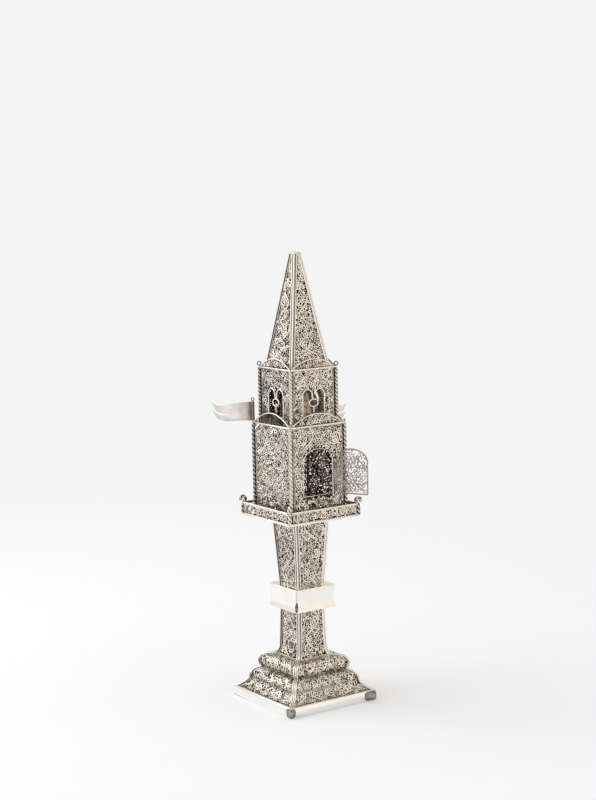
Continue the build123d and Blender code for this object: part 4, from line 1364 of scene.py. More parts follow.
@dataclass
class Stem:
    """A square filigree shaft with three wires up each corner."""

    name: str
    profile: Array
    seed: int
    # Painted shade: how much darker the left side is drawn.
    tarnish: float = 0.05
    wire: float = 0.32
    inset: float = 1.75
    corner_inset: float = 0.15
    side_sunk: float = 0.12
    sunk: float = 0.4
    strip_sheet: float = 0.2
    # The strips' tone: dark as painted shade between the wires.
    strip_tone: float = 1.2

    def strip(self) -> Skin:
        """The strip along the front side's left edge, between the corner wire and the next, toned dark as
        painted shade.

        Returns:
            The closed skin.
        """
        half, z = self.profile[:, 0], self.profile[:, 1]
        across = np.linspace(self.corner_inset, self.inset, 3)
        x = -half[:, None] + across
        y = np.broadcast_to(-half[:, None] + self.sunk, x.shape)
        outer = np.stack([x, y, np.broadcast_to(z[:, None], x.shape)], axis=-1)[:, ::-1]
        return slab(outer, outer + np.array([0.0, self.strip_sheet, 0.0]), self.strip_tone)

    def corner(self) -> Skin:
        """The front left corner: a wire on it, one beside it on each side, and the strips between.

        Returns:
            The closed skin.
        """
        half, z = self.profile[:, 0], self.profile[:, 1]
        corner = np.stack([-half, -half, z], axis=-1)
        near, side, sunk = self.corner_inset, self.inset, self.side_sunk
        shifts = np.array([[near, near, 0.0], [side, sunk, 0.0], [sunk, side, 0.0]])
        paths = corner + shifts[:, None]
        out = np.broadcast_to(unit(np.array([-1.0, -1.0, 0.0])), paths.shape)
        wires = sweep(paths, out, self.wire, self.wire, 8, tones=(0.0, 0.7))
        strip = self.strip()
        mirror = strip.points[:, [1, 0, 2]]
        return Skin.joined([wires, strip, Skin(mirror, strip.quads[:, ::-1], strip.tone)])

    def panel(self, face: PanelFace, seed: int) -> Skin:
        """One side: curls, a vine, and a wire along its foot and its head.

        Args:
            face: The side as a panel.
            seed: The seed of its pattern.

        Returns:
            The side's skin.
        """
        curls = FINE.curls(face, face.outline(0.25), [], seed)
        vine = FINE.vines(face, 0.5, face.length - 0.5, 1, seed)
        ends = face.courses(np.array([0.3, face.length - 0.3]))
        return Skin.joined([curls, vine, face.wires(ends, -0.25, 0.22, 0.32)])

    def build(self, bench: Bench) -> None:
        """Adds the four sides and the corner wires.

        Args:
            bench: Where the pieces go.
        """
        face = PanelFace(self.profile[:, 0], self.profile[:, 1], self.inset + 0.2)
        panels = [
            left_darker(self.panel(face, self.seed + index), side, self.tarnish)
            for index, side in enumerate(Side)
        ]
        bench.four_panels(f"{self.name}_panel", panels, FILIGREE)
        bench.stand_for(f"{self.name}_corner_wires", weathered(self.corner(), WIRE_WEAR_AND_SHADE), WIRE)


@dataclass
class Knop:
    """The plain polished knop: a flared skirt with one open seam, a band and a top plate."""

    foot: float = 48.7
    waist: float = 54.0
    head: float = 59.7
    top: float = 60.5
    skirt_half: float = 12.4
    waist_half: float = 11.75
    band_half: float = 12.1
    top_half: float = 12.3
    wall: float = 0.7
    flare: float = 0.25
    skirt_corner: float = 0.3
    band_corner: float = 0.8
    rubbed: float = 1.6
    edge: float = 0.2
    seam: float = 0.6
    solder_half: float = 0.85
    solder_depth: float = 0.55
    solder_sunk: float = 0.35

    def skirt(self) -> Skin:
        """The flared skirt, bent from one strip whose ends don't quite meet at the near corner.

        Returns:
            The closed skin.
        """
        line = bow((self.skirt_half, self.foot), (self.waist_half, self.waist), self.flare, 8)
        wall = np.array([self.wall, 0.0])
        profile = np.concatenate([line, (line - wall)[::-1]])
        loops = square_loop(profile[:, 0], profile[:, 1], self.skirt_corner, slit=self.seam)
        return tube(np.swapaxes(loops, 0, 1)[:, ::-1], np.array(0.0))

    def band(self) -> Skin:
        """The band over the skirt, drawn in a little at its foot, its near corner toned grey as a painted
        reflection.

        Returns:
            The closed skin.
        """
        outer = [(self.waist_half, self.waist), (self.band_half, self.head)]
        inner = [(self.band_half - self.wall, self.head), (self.waist_half - self.wall, self.waist)]
        # Painted reflection: the band's near corner is toned grey.
        tone = np.where(np.isin(np.arange(16), [1, 2]), self.rubbed, 0.0)
        return square_ring(np.array(outer + inner), self.band_corner, tone)

    def seam_solder(self) -> Skin:
        """A dark tongue of solder in the skirt's seam: an oval section that thins to both ends.

        Returns:
            The closed skin.
        """
        t = np.linspace(0.0, 1.0, 14)
        half = self.skirt_half + t * (self.waist_half - self.skirt_half) - self.solder_sunk
        path = np.stack([-half, -half, self.foot + 0.3 + t * (self.waist - self.foot - 0.5)], axis=-1)
        out = np.broadcast_to(unit(np.array([-1.0, -1.0, 0.15])), path.shape)
        swell = np.sqrt(np.maximum(4.0 * t * (1.0 - t), 0.03))
        across, depth = self.solder_half * swell, self.solder_depth * swell
        return sweep(path[None], out[None], across, depth, 10, tones=(0.7, 0.9))

    def build(self, bench: Bench) -> None:
        """Adds the skirt, band and top plate, and dresses the plate inside.

        Args:
            bench: Where the pieces go.
        """
        bench.stand_for("knop_skirt", self.skirt(), POLISHED, Crease.SHEET)
        bench.add("solder_knop_seam", "knop_skirt", self.seam_solder(), SOLDER)
        bench.stand_for("knop_band", self.band(), POLISHED, Crease.SHEET)
        top = square_plate(self.top_half, self.head, self.top, self.edge)
        bench.stand_for("knop_top_plate", top, POLISHED, Crease.SHEET)
        bench.dress("knop_inner_plate", TONED)


@dataclass
class Gallery:
    """The railed gallery: a floor, four filigree fences and four rope posts that end in hooks."""

    half: float = 21.6
    under: float = 96.0
    floor: float = 96.9
    rail: float = 103.0
    post_centre: float = 21.2
    post_radius: float = 1.1
    post_height: float = 5.4
    pitch: float = 4.6
    hook_radius: float = 1.25
    hook_wire: float = 0.9
    corner_gap: float = 1.3
    edge: float = 0.15
    seed: int = 60

    def fence(self, seed: int) -> Skin:
        """One fence with a stout wire along its top, a thin one under it and one along its foot.

        Args:
            seed: The seed of its pattern.

        Returns:
            The fence's skin.
        """
        face = flat_face(self.half, self.floor, self.rail, self.corner_gap)
        scrolls = FINE.vines(face, 0.5, face.length - 0.5, 7, seed)
        curls = FINE.curls(face, face.outline(0.5), [], seed)
        paths = face.courses(np.array([0.3, face.length - 1.1, face.length - 0.35]), 14)
        thin = face.wires(paths[:2], -0.2, 0.26, 0.4, sides=8)
        # The top rail is toned brighter than the curls as a painted highlight.
        stout = face.wires(paths[2:], -0.05, 0.42, 0.45, 8, 0.3).darker(-0.2)
        return Skin.joined([curls, scrolls, thin, stout])

    def post(self) -> Skin:
        """A rope post over the front left corner, its thinned end curled in, up, over and down outside.

        The line is drawn in the corner's own plane, q outwards and z up, and then stood on the corner.

        Returns:
            The closed skin.
        """
        r, foot = self.hook_radius, self.post_height
        middle = foot + self.hook_wire + r
        angle = np.radians([215.0, 175.0, 135.0, 90.0, 45.0, 0.0, -35.0])
        curl = np.stack([r * np.cos(angle), middle + r * np.sin(angle)], axis=-1)
        shaft = np.stack([np.zeros(4), np.linspace(0.0, foot - 0.6, 4)], axis=-1)
        flat = spline(np.concatenate([shaft, [[-0.25, foot + 0.25]], curl]), 90)
        out = np.array([-1.0, -1.0, 0.0]) / math.sqrt(2.0)
        up = np.array([0.0, 0.0, 1.0])
        line = flat[:, :1] * out + flat[:, 1:] * up
        line = line + np.array([-self.post_centre, -self.post_centre, self.floor])
        thick = np.interp(flat[:, 1], [0.6 * foot, foot], [self.post_radius, self.hook_wire])
        return rope(line, np.cross(out, up), thick, self.pitch)

    def build(self, bench: Bench) -> None:
        """Adds the floor, the fences and the posts.

        Args:
            bench: Where the pieces go.
        """
        # The floor's flat sides are toned dark as painted shade.
        plate = square_plate(self.half, self.under, self.floor, self.edge, 1.0)
        bench.stand_for("gallery_floor", plate, WIRE, Crease.SHEET)
        fences = [self.fence(self.seed + index) for index in range(len(Side))]
        bench.four_panels("gallery_fence", fences, FILIGREE)
        bench.stand_for("gallery_posts", weathered(self.post(), POST_WEAR_AND_SHADE), ROPE)


@dataclass
class SpiceChamber:
    """The spice chamber: four filigree walls, rope columns, the doorway with its hinge and catch."""

    half: float = 16.6
    low: float = 96.9
    high: float = 144.0
    column_centre: float = 16.75
    column_radius: float = 0.95
    pitch: float = 4.6
    doorway_half: float = 8.8
    sill: float = 109.1
    spring: float = 126.0
    rise: float = 6.3
    frame_wire: float = 0.34
    frame_depth: float = 0.5
    frame_lift: float = -0.43
    hinge: Pair = (9.75, -17.4)
    hinge_foot: float = 110.3
    hinge_head: float = 124.8
    knuckle_length: float = 3.0
    knuckle_radius: float = 0.7
    flange_reach: float = 2.6
    flange_sheet: float = 0.4
    pin_radius: float = 0.35
    pin_past: float = 0.42
    pin_head: Pair = (0.6, 0.3)
    bevel: float = 0.1
    catch_x: float = -10.0
    catch_z: float = 121.1
    catch_apart: float = 1.7
    catch_bead: float = 0.8
    seed: int = 70

    def face(self, corner_gap: float = 1.3) -> PanelFace:
        """The chamber's front wall as a panel."""
        return flat_face(self.half, self.low, self.high, corner_gap)

    def doorway(self, margin: float) -> Array:
        """The doorway's outline on the front panel, grown by a margin."""
        line = arch_line(self.doorway_half + margin, self.sill - margin, self.spring, self.rise + margin)
        return line - np.array([0.0, self.low])

    def doorway_frame(self) -> Skin:
        """A round wire round the doorway, sill included.

        Returns:
            The wire's skin.
        """
        section = (self.frame_lift, self.frame_wire, self.frame_depth, 8)
        straight, bent = arch_paths(self.doorway(0.3))
        face = self.face()
        return Skin.joined([face.wires(straight, *section), face.wires(bent, *section)])

    def knuckle(self, foot: float, height: float, bore: float, tone: float = 1.0) -> Skin:
        """A rolled knuckle on the hinge's axis, of a height over its foot."""
        return rolled_tube(bore, self.knuckle_radius, height, self.bevel, tone).moved(*self.hinge, foot)

    def fixed_knuckles(self) -> Skin:
        """The two knuckles that are soldered to the wall, with their flanges.

        Returns:
            The knuckles' skin.
        """
        parts = []
        for foot in (self.hinge_foot, self.hinge_head - self.knuckle_length):
            parts.append(self.knuckle(foot, self.knuckle_length, self.pin_radius + 0.03))
            x = np.linspace(self.hinge[0] + 0.45, self.hinge[0] + self.flange_reach, 6)
            z = np.linspace(foot + self.bevel, foot + self.knuckle_length - self.bevel, 4)
            parts.append(upright_sheet(x, (-self.half - self.flange_sheet, -self.half), z, 0.9))
        return Skin.joined(parts)

    def pin(self) -> Skin:
        """The hinge pin with a small head at each end.

        Returns:
            The closed skin.
        """
        r, b = self.pin_radius, self.bevel
        wide, thick = self.pin_head
        low, high = self.hinge_foot - self.pin_past, self.hinge_head + self.pin_past
        foot = [(0.1, low), (wide - b, low), (wide, low + b), (wide, low + thick), (r, low + thick)]
        head = [(r, high - thick), (wide, high - thick), (wide, high - b), (wide - b, high), (0.1, high)]
        return revolve(np.array(foot + head), 16, tone=0.8).moved(*self.hinge, 0.0)

    def catch(self) -> Skin:
        """Two soldered beads beside the doorway."""
        heights = (self.catch_z - self.catch_apart, self.catch_z + self.catch_apart)
        return Skin.joined(bead(self.catch_bead).moved(self.catch_x, -self.half, z) for z in heights)

    def build(self, bench: Bench) -> None:
        """Adds the walls, columns, doorway frame, hinge and catch.

        Args:
            bench: Where the pieces go.
        """
        near, far = self.face(), self.face(0.7)
        panels = [
            filigree_panel(near, self.seed, 2, [self.doorway(0.7)], FINE),
            filigree_panel(far, self.seed + 1, 2, [], SEEN_INSIDE, margin=0.3, selvage=False),
            filigree_panel(far, self.seed + 2, 2, [], SEEN_INSIDE, margin=0.3, selvage=False),
            filigree_panel(near, self.seed + 3, 2, [], FINE),
        ]
        bench.four_panels("chamber_wall", panels, FILIGREE)
        column = rope_column(self.column_centre, self.low, self.high, self.column_radius, self.pitch)
        bench.stand_for("chamber_columns", weathered(column, COLUMN_WEAR_AND_SHADE), ROPE)
        bench.stand_for("doorway_frame", self.doorway_frame(), WIRE)
        bench.stand_for("hinge_knuckles", self.fixed_knuckles(), WIRE, Crease.HINGE)
        bench.stand_for("hinge_pin", self.pin(), WIRE, Crease.HINGE)
        bench.stand_for("door_catch", self.catch(), WIRE)


@dataclass
class Door:
    """The arched filigree door, standing open on its hinge."""

    chamber: SpiceChamber
    lap: float = 0.15
    outer: float = 17.4
    sheet: float = 0.7
    open_angle: float = 118.0
    rim: float = 0.4
    gap: float = 0.12
    pull_inset: float = 1.0
    pull_bead: float = 0.75
    bare_head: float = 4.5
    seed: int = 80
    pattern: Filigree = Filigree(
        pitch=2.3, curl=1.25, across=0.2, depth=0.24, lift=-0.37, lean=0.08, vine_lift=-0.37,
        tones=(0.0, 0.55), vine_tones=(0.0, 0.4),
    )

    def hung(self, shut: Skin) -> Skin:
        """Turns a skin drawn on the shut door to where the open door stands."""
        return shut.turned(self.open_angle, self.chamber.hinge)

    def leaf(self) -> Skin:
        """The shut leaf: a frame wire, vines with curls, and the rolled knuckle.

        Returns:
            The leaf's skin.
        """
        room, rim = self.chamber, self.rim
        half, rise = room.doorway_half + self.lap - rim, room.rise + self.lap - rim
        low, high = room.sill - self.lap, room.spring + room.rise + self.lap
        face = flat_face(self.outer, low, high, self.outer - room.doorway_half - self.lap)
        outline = arch_line(half, low + rim, room.spring, rise) - np.array([0.0, low])
        frame_wires = [face.wires(paths, -0.35, 0.38, 0.34, 8, 0.55) for paths in arch_paths(outline)]
        curls = self.pattern.curls(face, outline, [], self.seed)
        scrolls = self.pattern.vines(face, 0.8, face.length - self.bare_head, 2, self.seed)
        return Skin.joined([*frame_wires, curls, scrolls, self.knuckle()])

    def knuckle(self) -> Skin:
        """The leaf's rolled knuckle with the tongue that joins it to the leaf.

        Returns:
            The knuckle's skin.
        """
        room = self.chamber
        foot = room.hinge_foot + room.knuckle_length + self.gap
        height = room.hinge_head - room.hinge_foot - 2.0 * (room.knuckle_length + self.gap)
        roll = room.knuckle(foot, height, room.pin_radius + 0.07, 0.4)
        x = np.linspace(room.doorway_half + self.lap - 0.5, room.hinge[0] - 0.5, 5)
        z = np.linspace(foot + 0.05, foot + height - 0.05, 6)
        return Skin.joined([roll, upright_sheet(x, (-self.outer, -self.outer + self.sheet), z, 0.5)])

    def pull(self) -> Skin:
        """The bead on the leaf's free edge."""
        x = -(self.chamber.doorway_half + self.lap) + self.pull_inset
        return bead(self.pull_bead).moved(x, -self.outer, self.chamber.catch_z)

    def build(self, bench: Bench) -> None:
        """Adds the leaf and its pull."""
        bench.stand_for("door_leaf", self.hung(self.leaf()), FILIGREE)
        bench.stand_for("door_pull", self.hung(self.pull()), WIRE)


@dataclass
class Cornice:
    """A plate over a tier with an arched filigree crest on each side."""

    plate: str
    crests: str
    half: float
    chord: float
    low: float
    high: float
    rise: float
    overhang: float
    seed: int
    # Painted shade on the left crest's curls.
    tarnish: float = 0.0
    edge: float = 0.25

    def crest(self, seed: int, tarnish: float) -> Skin:
        """One crest: an arch wire over curls darkened by a share as painted shade.

        The arch is z = rise (1 - (x / chord)^2).

        Args:
            seed: The seed of its pattern.
            tarnish: How much painted shade darkens its curls.

        Returns:
            The crest's skin.
        """
        face = flat_face(self.half, self.high, self.high + self.rise, self.half - self.chord)
        angle = np.linspace(-1.0, 1.0, 48)
        arch = np.stack([self.chord * angle, self.rise * (1.0 - angle**2)], axis=-1)
        inner = np.stack([0.96 * arch[:, 0], np.maximum(arch[:, 1] - 0.4, 0.0) - 0.2], axis=-1)
        curls = FINE.curls(face, inner[1:-1], [], seed)
        line = arch * np.array([1.0, 0.94]) + np.array([0.0, 0.1])
        return Skin.joined([curls.darker(tarnish), face.wires(line[None], -0.1, 0.34, 0.42, sides=8)])

    def build(self, bench: Bench) -> None:
        """Adds the plate and the four crests, the left one darkened with painted shade.

        Args:
            bench: Where the pieces go.
        """
        plate = square_plate(self.half + self.overhang, self.low, self.high, self.edge, 0.6)
        bench.stand_for(self.plate, plate, WIRE, Crease.SHEET)
        crests = []
        for index, side in enumerate(Side):
            tarnish = self.tarnish if side is Side.LEFT else 0.0
            crests.append(self.crest(self.seed + index, tarnish).turned(side.value))
        bench.stand_for(self.crests, Skin.joined(crests), FILIGREE)


@dataclass(frozen=True)
class Flag:
    """One flag: its node, which way along X its pole stands, its heading in degrees and its droop."""

    node: str
    sign: float
    heading: float
    droop: float


@dataclass
class Pennants:
    """Two waved swallow-tailed flags on their poles at the back, and two stubs of poles in front."""

    centre: float = 16.75
    foot: float = 144.8
    pole_radius: float = 0.45
    pole_height: float = 10.4
    stub_height: float = 1.5
    stub_radius: float = 0.6
    stub_pitch: float = 2.6
    loop_radius: float = 0.75
    loop_wire: float = 0.25
    lift: float = 0.35
    length: float = 21.0
    height: float = 9.7
    sheet: float = 0.36
    wave: float = 1.1
    tube_inside: float = 0.52
    tube_outside: float = 0.92
    bevel: float = 0.1
    flags: tuple[Flag, ...] = (Flag("pennant_left", -1.0, 145.5, 0.0), Flag("pennant_back", 1.0, -34.5, 4.8))

    def ribbon(self, lower: list[Pair], upper: list[Pair], droop: float) -> Skin:
        """A strip of flag between two edges, waved: y = wave sin(2 pi x / length).

        Its free end hangs down by droop (x / length)^2. It is painted darkest by the pole as a painted
        reflection of the dark tower, with a fainter painted shade beyond that and one along its lower edge.

        Args:
            lower: The lower edge's points, as shares of the flag's length and height.
            upper: The upper edge's points, likewise.
            droop: How far the free end hangs down.

        Returns:
            The closed skin, flying along +X from the pole.
        """
        scale = np.array([self.length, self.height])
        start, end = spline(np.array(lower) * scale, 40), spline(np.array(upper) * scale, 40)
        share = np.linspace(0.0, 1.0, 9)[None, :, None]
        flat = start[:, None] + share * (end - start)[:, None]
        x, z = flat[..., 0], flat[..., 1]
        y = self.wave * np.sin(FULL_TURN * x / self.length)
        slope = self.wave * FULL_TURN / self.length * np.cos(FULL_TURN * x / self.length)
        normal = unit(np.stack([slope, -1.0 + 0.0 * x, 0.0 * x], axis=-1)) * self.sheet / 2.0
        middle = np.stack([x, y, z - droop * (x / self.length) ** 2], axis=-1)
        # Painted reflection by the pole, painted shade beyond it and along the lower edge.
        tone = 0.06 + np.exp(-((x / 2.7) ** 2)) + 0.28 * np.exp(-(((x - 5.5) / 2.0) ** 2))
        tone += 0.3 * np.exp(-((z / 1.3) ** 2)) * np.exp(-(((x - 11.0) / 6.0) ** 2))
        return slab(middle + normal, middle - normal, tone)

    def flag(self, droop: float) -> Skin:
        """The flag on its rolled tube, drawn along +X with the pole at the origin.

        Args:
            droop: How far its free end hangs down.

        Returns:
            The closed skin.
        """
        hoist = self.tube_outside / self.length * 0.8
        mid = [(hoist, 0.56), (0.28, 0.48), (0.55, 0.34)]
        upper = self.ribbon(
            mid + [(0.77, 0.41), (0.90, 0.55), (0.985, 0.98)],
            [(hoist, 1.0), (0.2, 0.99), (0.45, 0.94), (0.72, 0.80), (0.88, 0.82), (1.0, 1.04)],
            droop,
        )
        lower = self.ribbon(
            [(hoist, 0.0), (0.3, 0.02), (0.6, -0.03), (0.76, 0.01), (0.88, 0.16), (0.97, 0.55)],
            mid + [(0.70, 0.27), (0.83, 0.31), (0.962, 0.57)],
            droop,
        )
        # The rolled tube is toned dark as painted shade.
        roll = rolled_tube(self.tube_inside, self.tube_outside, self.height, self.bevel, 0.9)
        return Skin.joined([upper, lower, roll])

    def poles(self) -> Skin:
        """Two poles with loops at the back and two stubs at the front.

        Returns:
            The poles' skin.
        """
        r, top, b = self.pole_radius, self.pole_height, self.bevel
        line = np.array([(0.05, 0.0), (r, 0.0), (r, top - b), (r - b, top), (0.05, top)])
        pole = revolve(line, 16, tone=0.3)
        loop = loop_of_wire(self.loop_radius, self.loop_wire, -45.0).darker(0.4).moved(0.0, 0.0, top - b)
        whole = Skin.joined([pole, loop]).moved(-self.centre, self.centre, self.foot)
        stub_top = self.foot + self.stub_height
        stub = rope_column(self.centre, self.foot, stub_top, self.stub_radius, self.stub_pitch)
        return Skin.joined([whole, whole.turned(-90.0), stub, stub.turned(90.0)])

    def build(self, bench: Bench) -> None:
        """Adds the poles and the two flags.

        Args:
            bench: Where the pieces go.
        """
        bench.stand_for("pennant_poles", self.poles(), ROPE)
        for flag in self.flags:
            flown = self.flag(flag.droop).turned(flag.heading)
            placed = flown.moved(flag.sign * self.centre, self.centre, self.foot + self.lift)
            bench.stand_for(flag.node, placed, FLAG_SHEET, Crease.SHEET)


@dataclass
class BellChamber:
    """The bell chamber: filigree walls with paired windows, rope columns and wire loops above."""

    half: float = 13.8
    low: float = 144.8
    high: float = 172.4
    roof: float = 173.2
    column_centre: float = 14.0
    column_radius: float = 0.92
    pitch: float = 3.9
    window_half: float = 2.95
    window_centre: float = 3.7
    sill: float = 3.0
    sill_drop: float = 0.2
    spring: float = 14.8
    steps: int = 60
    wire: float = 0.4
    wire_depth: float = 0.45
    wire_lift: float = -0.25
    ring_half: Pair = (2.7, 1.9)
    ring_drop: float = 4.0
    bent_leg: tuple[Pair, ...] = ((1.0, 16.6), (1.9, 14.6), (2.8, 12.4))
    bent_half: float = 0.6
    patterns: tuple[Filigree, ...] = (FINE, LIGHT_CLOSE, CLOSE, FINE)
    corner_gap: float = 1.25
    loop_radius: float = 0.95
    loop_wire: float = 0.33
    tarnish: float = 0.15
    # Painted shade: how much darker the left wall is drawn.
    seed: int = 90

    def face(self) -> PanelFace:
        """One wall as a panel."""
        return flat_face(self.half, self.low, self.high, self.corner_gap)

    def light(self, sign: float, margin: float) -> Array:
        """One window's outline, on the side of the middle that sign gives."""
        half = self.window_half + margin
        return arch_line(half, self.sill - margin, self.spring, half) + [sign * self.window_centre, 0.0]

    def openings(self) -> list[Array]:
        """The two lights and the strip between them below the spring.

        Returns:
            The outlines on the panel.
        """
        pier = self.window_centre - self.window_half
        foot, head = self.sill - 0.3, self.spring - 0.5
        strip = np.array([(-pier, foot), (pier, foot), (pier, head), (-pier, head)])
        return [self.light(-1.0, 0.35), self.light(1.0, 0.35), strip]

    def head(self, sign: float, leg: Array) -> Array:
        """A light's wire: up its jamb, over its round head and along a leg.

        Args:
            sign: Which side of the middle the light is on.
            leg: The leg's points on the panel, downwards.

        Returns:
            The wire's line on the panel.
        """
        angle = np.linspace(0.0, math.pi, 15)
        x = sign * (self.window_centre + self.window_half * np.cos(angle))
        arch = np.stack([x, self.spring + self.window_half * np.sin(angle)], axis=-1)
        jamb = np.array([[x[0], self.sill - self.sill_drop], [x[0], self.spring - 5.0]])
        return spline(np.concatenate([jamb, arch[:-1], leg]), self.steps)

    def tracery(self, bent: bool) -> Skin:
        """The wires of one pair of windows: two heads, a flat ring between them, a mullion and a sill.

        The ring is the oval (a cos t, b sin t), and each head's leg comes down to it.

        Args:
            bent: Whether the right light's leg is the one that was flattened and pushed aside.

        Returns:
            The wires' skin.
        """
        face = self.face()
        ring_z = self.spring - self.ring_drop
        across, tall = self.ring_half
        inner = self.window_centre - self.window_half
        straight = np.array([[inner, self.spring], [0.9 * inner, self.spring - 1.0], [0.45, ring_z + tall]])
        right = np.array([[inner, self.spring + 1.2], *self.bent_leg]) if bent else straight
        reach = self.window_centre + self.window_half
        foot = self.sill - self.sill_drop
        sill = np.linspace((-reach, foot), (reach, foot), self.steps)
        mullion = np.linspace((0.0, foot), (0.0, ring_z - tall), self.steps)
        heads = [self.head(-1.0, straight * np.array([-1.0, 1.0])), self.head(1.0, right)]
        paths = np.stack([*heads, sill, mullion])
        wires = [face.wires(paths, self.wire_lift, self.wire, self.wire_depth, sides=8)]
        if bent:
            flat = spline(np.array([heads[1][44], *self.bent_leg]), 20)
            wires.append(face.wires(flat[None], 0.1, self.bent_half, 0.2, 8, 0.0))
        turn = FULL_TURN * np.arange(28) / 28
        oval = np.stack([across * np.cos(turn), ring_z + tall * np.sin(turn)], axis=-1)
        points, normals = face.place(oval[None], self.wire_lift)
        ring = sweep(points, normals, self.wire, self.wire_depth, 8, closed=True, tones=(0.0, 0.8))
        return Skin.joined([*wires, ring])

    def build(self, bench: Bench) -> None:
        """Adds the walls, columns, window wires and roof loops.

        Args:
            bench: Where the pieces go.
        """
        face = self.face()
        panels = []
        over_windows = self.spring + self.window_half + 0.8
        for seed, (side, pattern) in enumerate(zip(Side, self.patterns), self.seed):
            holes = self.openings() if pattern is FINE else []
            curls = pattern.curls(face, face.outline(0.6), holes, seed)
            top = FINE.vines(face, over_windows, face.length - 0.6, 3, seed)
            panel = Skin.joined([curls, top, face.double_border(), face.selvage()])
            panels.append(left_darker(panel, side, self.tarnish))
        bench.four_panels("bell_chamber_wall", panels, FILIGREE)
        column = rope_column(self.column_centre, self.low, self.high, self.column_radius, self.pitch)
        bench.stand_for("bell_chamber_columns", weathered(column, COLUMN_WEAR_AND_SHADE), ROPE)
        wires = [self.tracery(side is Side.FRONT).turned(side.value) for side in Side]
        bench.stand_for("window_tracery", Skin.joined(wires), WIRE)
        loop = loop_of_wire(self.loop_radius, self.loop_wire, 45.0)
        placed = loop.moved(-self.column_centre, -self.column_centre, self.roof)
        bench.stand_for("roof_finials", four_ways(placed.darker(0.4)), ROPE)


@dataclass
class Bell:
    """The bell under the roof, its staple and its clapper."""

    staple_z: float = 168.0
    staple_half: float = 1.8
    staple_wire: float = 0.4
    roof_under: float = 172.4
    loop_radius: float = 1.5
    loop_wire: float = 0.35
    crown: float = 165.9
    mouth: float = 147.9
    mouth_radius: float = 9.8
    shoulder_radius: float = 6.8
    shoulder_drop: float = 2.6
    crown_radius: float = 1.8
    waist_bow: float = -0.4
    dome_bow: float = -0.45
    wall: float = 0.7
    bar_z: float = 162.5
    bar_radius: float = 0.35
    eye_radius: float = 0.72
    eye_wire: Pair = (0.5, 0.24)
    rod_radius: float = 0.35
    ball_z: float = 150.5
    ball_radius: float = 1.3

    def cup(self) -> Skin:
        """The bell's wall: waist and dome turned about the axis, outside up and inside down.

        Returns:
            The closed skin, darker towards the crown.
        """
        shoulder = (self.shoulder_radius, self.crown - self.shoulder_drop)
        waist = bow((self.mouth_radius, self.mouth), shoulder, self.waist_bow, 14)
        dome = bow(shoulder, (self.crown_radius, self.crown), self.dome_bow, 6)
        outer = np.concatenate([waist, dome[1:], [[0.1, self.crown]]])
        inner = np.maximum(outer - np.array([self.wall, 0.0]), [[0.1, self.mouth]])
        inner[len(waist) - 1:, 1] -= self.wall
        profile = np.concatenate([outer, inner[::-1]])
        # Painted reflection and shade: the outside darkens towards the crown and the inside is dark.
        tone = np.concatenate([np.linspace(0.1, 0.75, len(outer)), np.full(len(inner), 0.8)])
        return revolve(profile, 40, closed=True, tone=tone)

    def bell(self) -> Skin:
        """The cup with its hanging loop and the crossbar inside.

        Returns:
            The bell's skin.
        """
        loop_foot = self.crown - self.loop_wire
        loop = loop_of_wire(self.loop_radius, self.loop_wire, 90.0).moved(0.0, 0.0, loop_foot)
        end = np.array([self.shoulder_radius, 0.0, self.bar_z])
        bar = straight_wire(end * [-1.0, 1.0, 1.0], end, self.bar_radius)
        return Skin.joined([self.cup(), loop, bar])

    def staple(self) -> Skin:
        """The staple: a level bar between two legs that reach the roof.

        Returns:
            The staple's skin.
        """
        half, top, bar = self.staple_half, self.roof_under, self.staple_z
        corners = np.array([(-half, 0.0, top), (-half, 0.0, bar), (half, 0.0, bar), (half, 0.0, top)])
        return Skin.joined(straight_wire(a, b, self.staple_wire) for a, b in zip(corners, corners[1:]))

    def clapper(self) -> Skin:
        """The clapper: an eye on the crossbar, a rod and a ball.

        Returns:
            The clapper's skin.
        """
        r, z = self.ball_radius, self.ball_z
        angle = np.radians(np.linspace(-86.0, 86.0, 11))
        ball = np.stack([r * np.cos(angle), z + r * np.sin(angle)], axis=-1)
        rod = straight_wire(np.array([0.0, 0.0, z]), np.array([0.0, 0.0, self.bar_z - 0.7]), self.rod_radius)
        turn = FULL_TURN * np.arange(20) / 20
        out = np.stack([0.0 * turn, np.cos(turn), np.sin(turn)], axis=-1)
        path = out * self.eye_radius + np.array([0.0, 0.0, self.bar_z])
        eye = sweep(path[None], out[None], *self.eye_wire, 8, closed=True, tones=(0.2, 0.2))
        return Skin.joined([revolve(ball, 18, tone=0.2), rod, eye])

    def build(self, bench: Bench) -> None:
        """Adds the staple, the bell and the clapper.

        Args:
            bench: Where the pieces go.
        """
        bench.stand_for("bell_staple", self.staple(), TONED)
        bench.stand_for("bell", self.bell(), BELL_TARNISH_AND_SHADE, Crease.SHEET)
        bench.stand_for("clapper", self.clapper(), TONED)


@dataclass
class Spire:
    """The filigree spire with three wires up each corner and a small square cap."""

    foot: Pair = (11.7, 173.2)
    head: Pair = (2.2, 229.6)
    cap_half: float = 2.6
    cap_top_half: float = 1.9
    cap_top: float = 230.8
    edge: float = 0.2
    # Painted shade: how much darker the left side is drawn.
    tarnish: float = 0.16
    seed: int = 110

    def build(self, bench: Bench) -> None:
        """Adds the panels, the corner wires and the cap.

        Args:
            bench: Where the pieces go.
        """
        Stem("spire", np.linspace(self.foot, self.head, 12), self.seed, self.tarnish).build(bench)
        wide, narrow, e = self.cap_half, self.cap_top_half, self.edge
        low, high = self.head[1], self.cap_top
        halves = np.array([0.4, wide - 0.15, wide, narrow, narrow - e, 0.4])
        heights = np.array([low, low, low + e, high - e, high, high])
        cap = tube(square_loop(halves, heights, 0.35), np.array(0.15))
        bench.stand_for("spire_cap", cap, WIRE, Crease.SHEET)


# Studio


@dataclass(frozen=True)
class Lamp:
    """A square lamp: where it stands and its side, in metres, its power in watts and its colour."""

    name: str
    place: Triple
    size: float
    watts: float
    colour: Triple


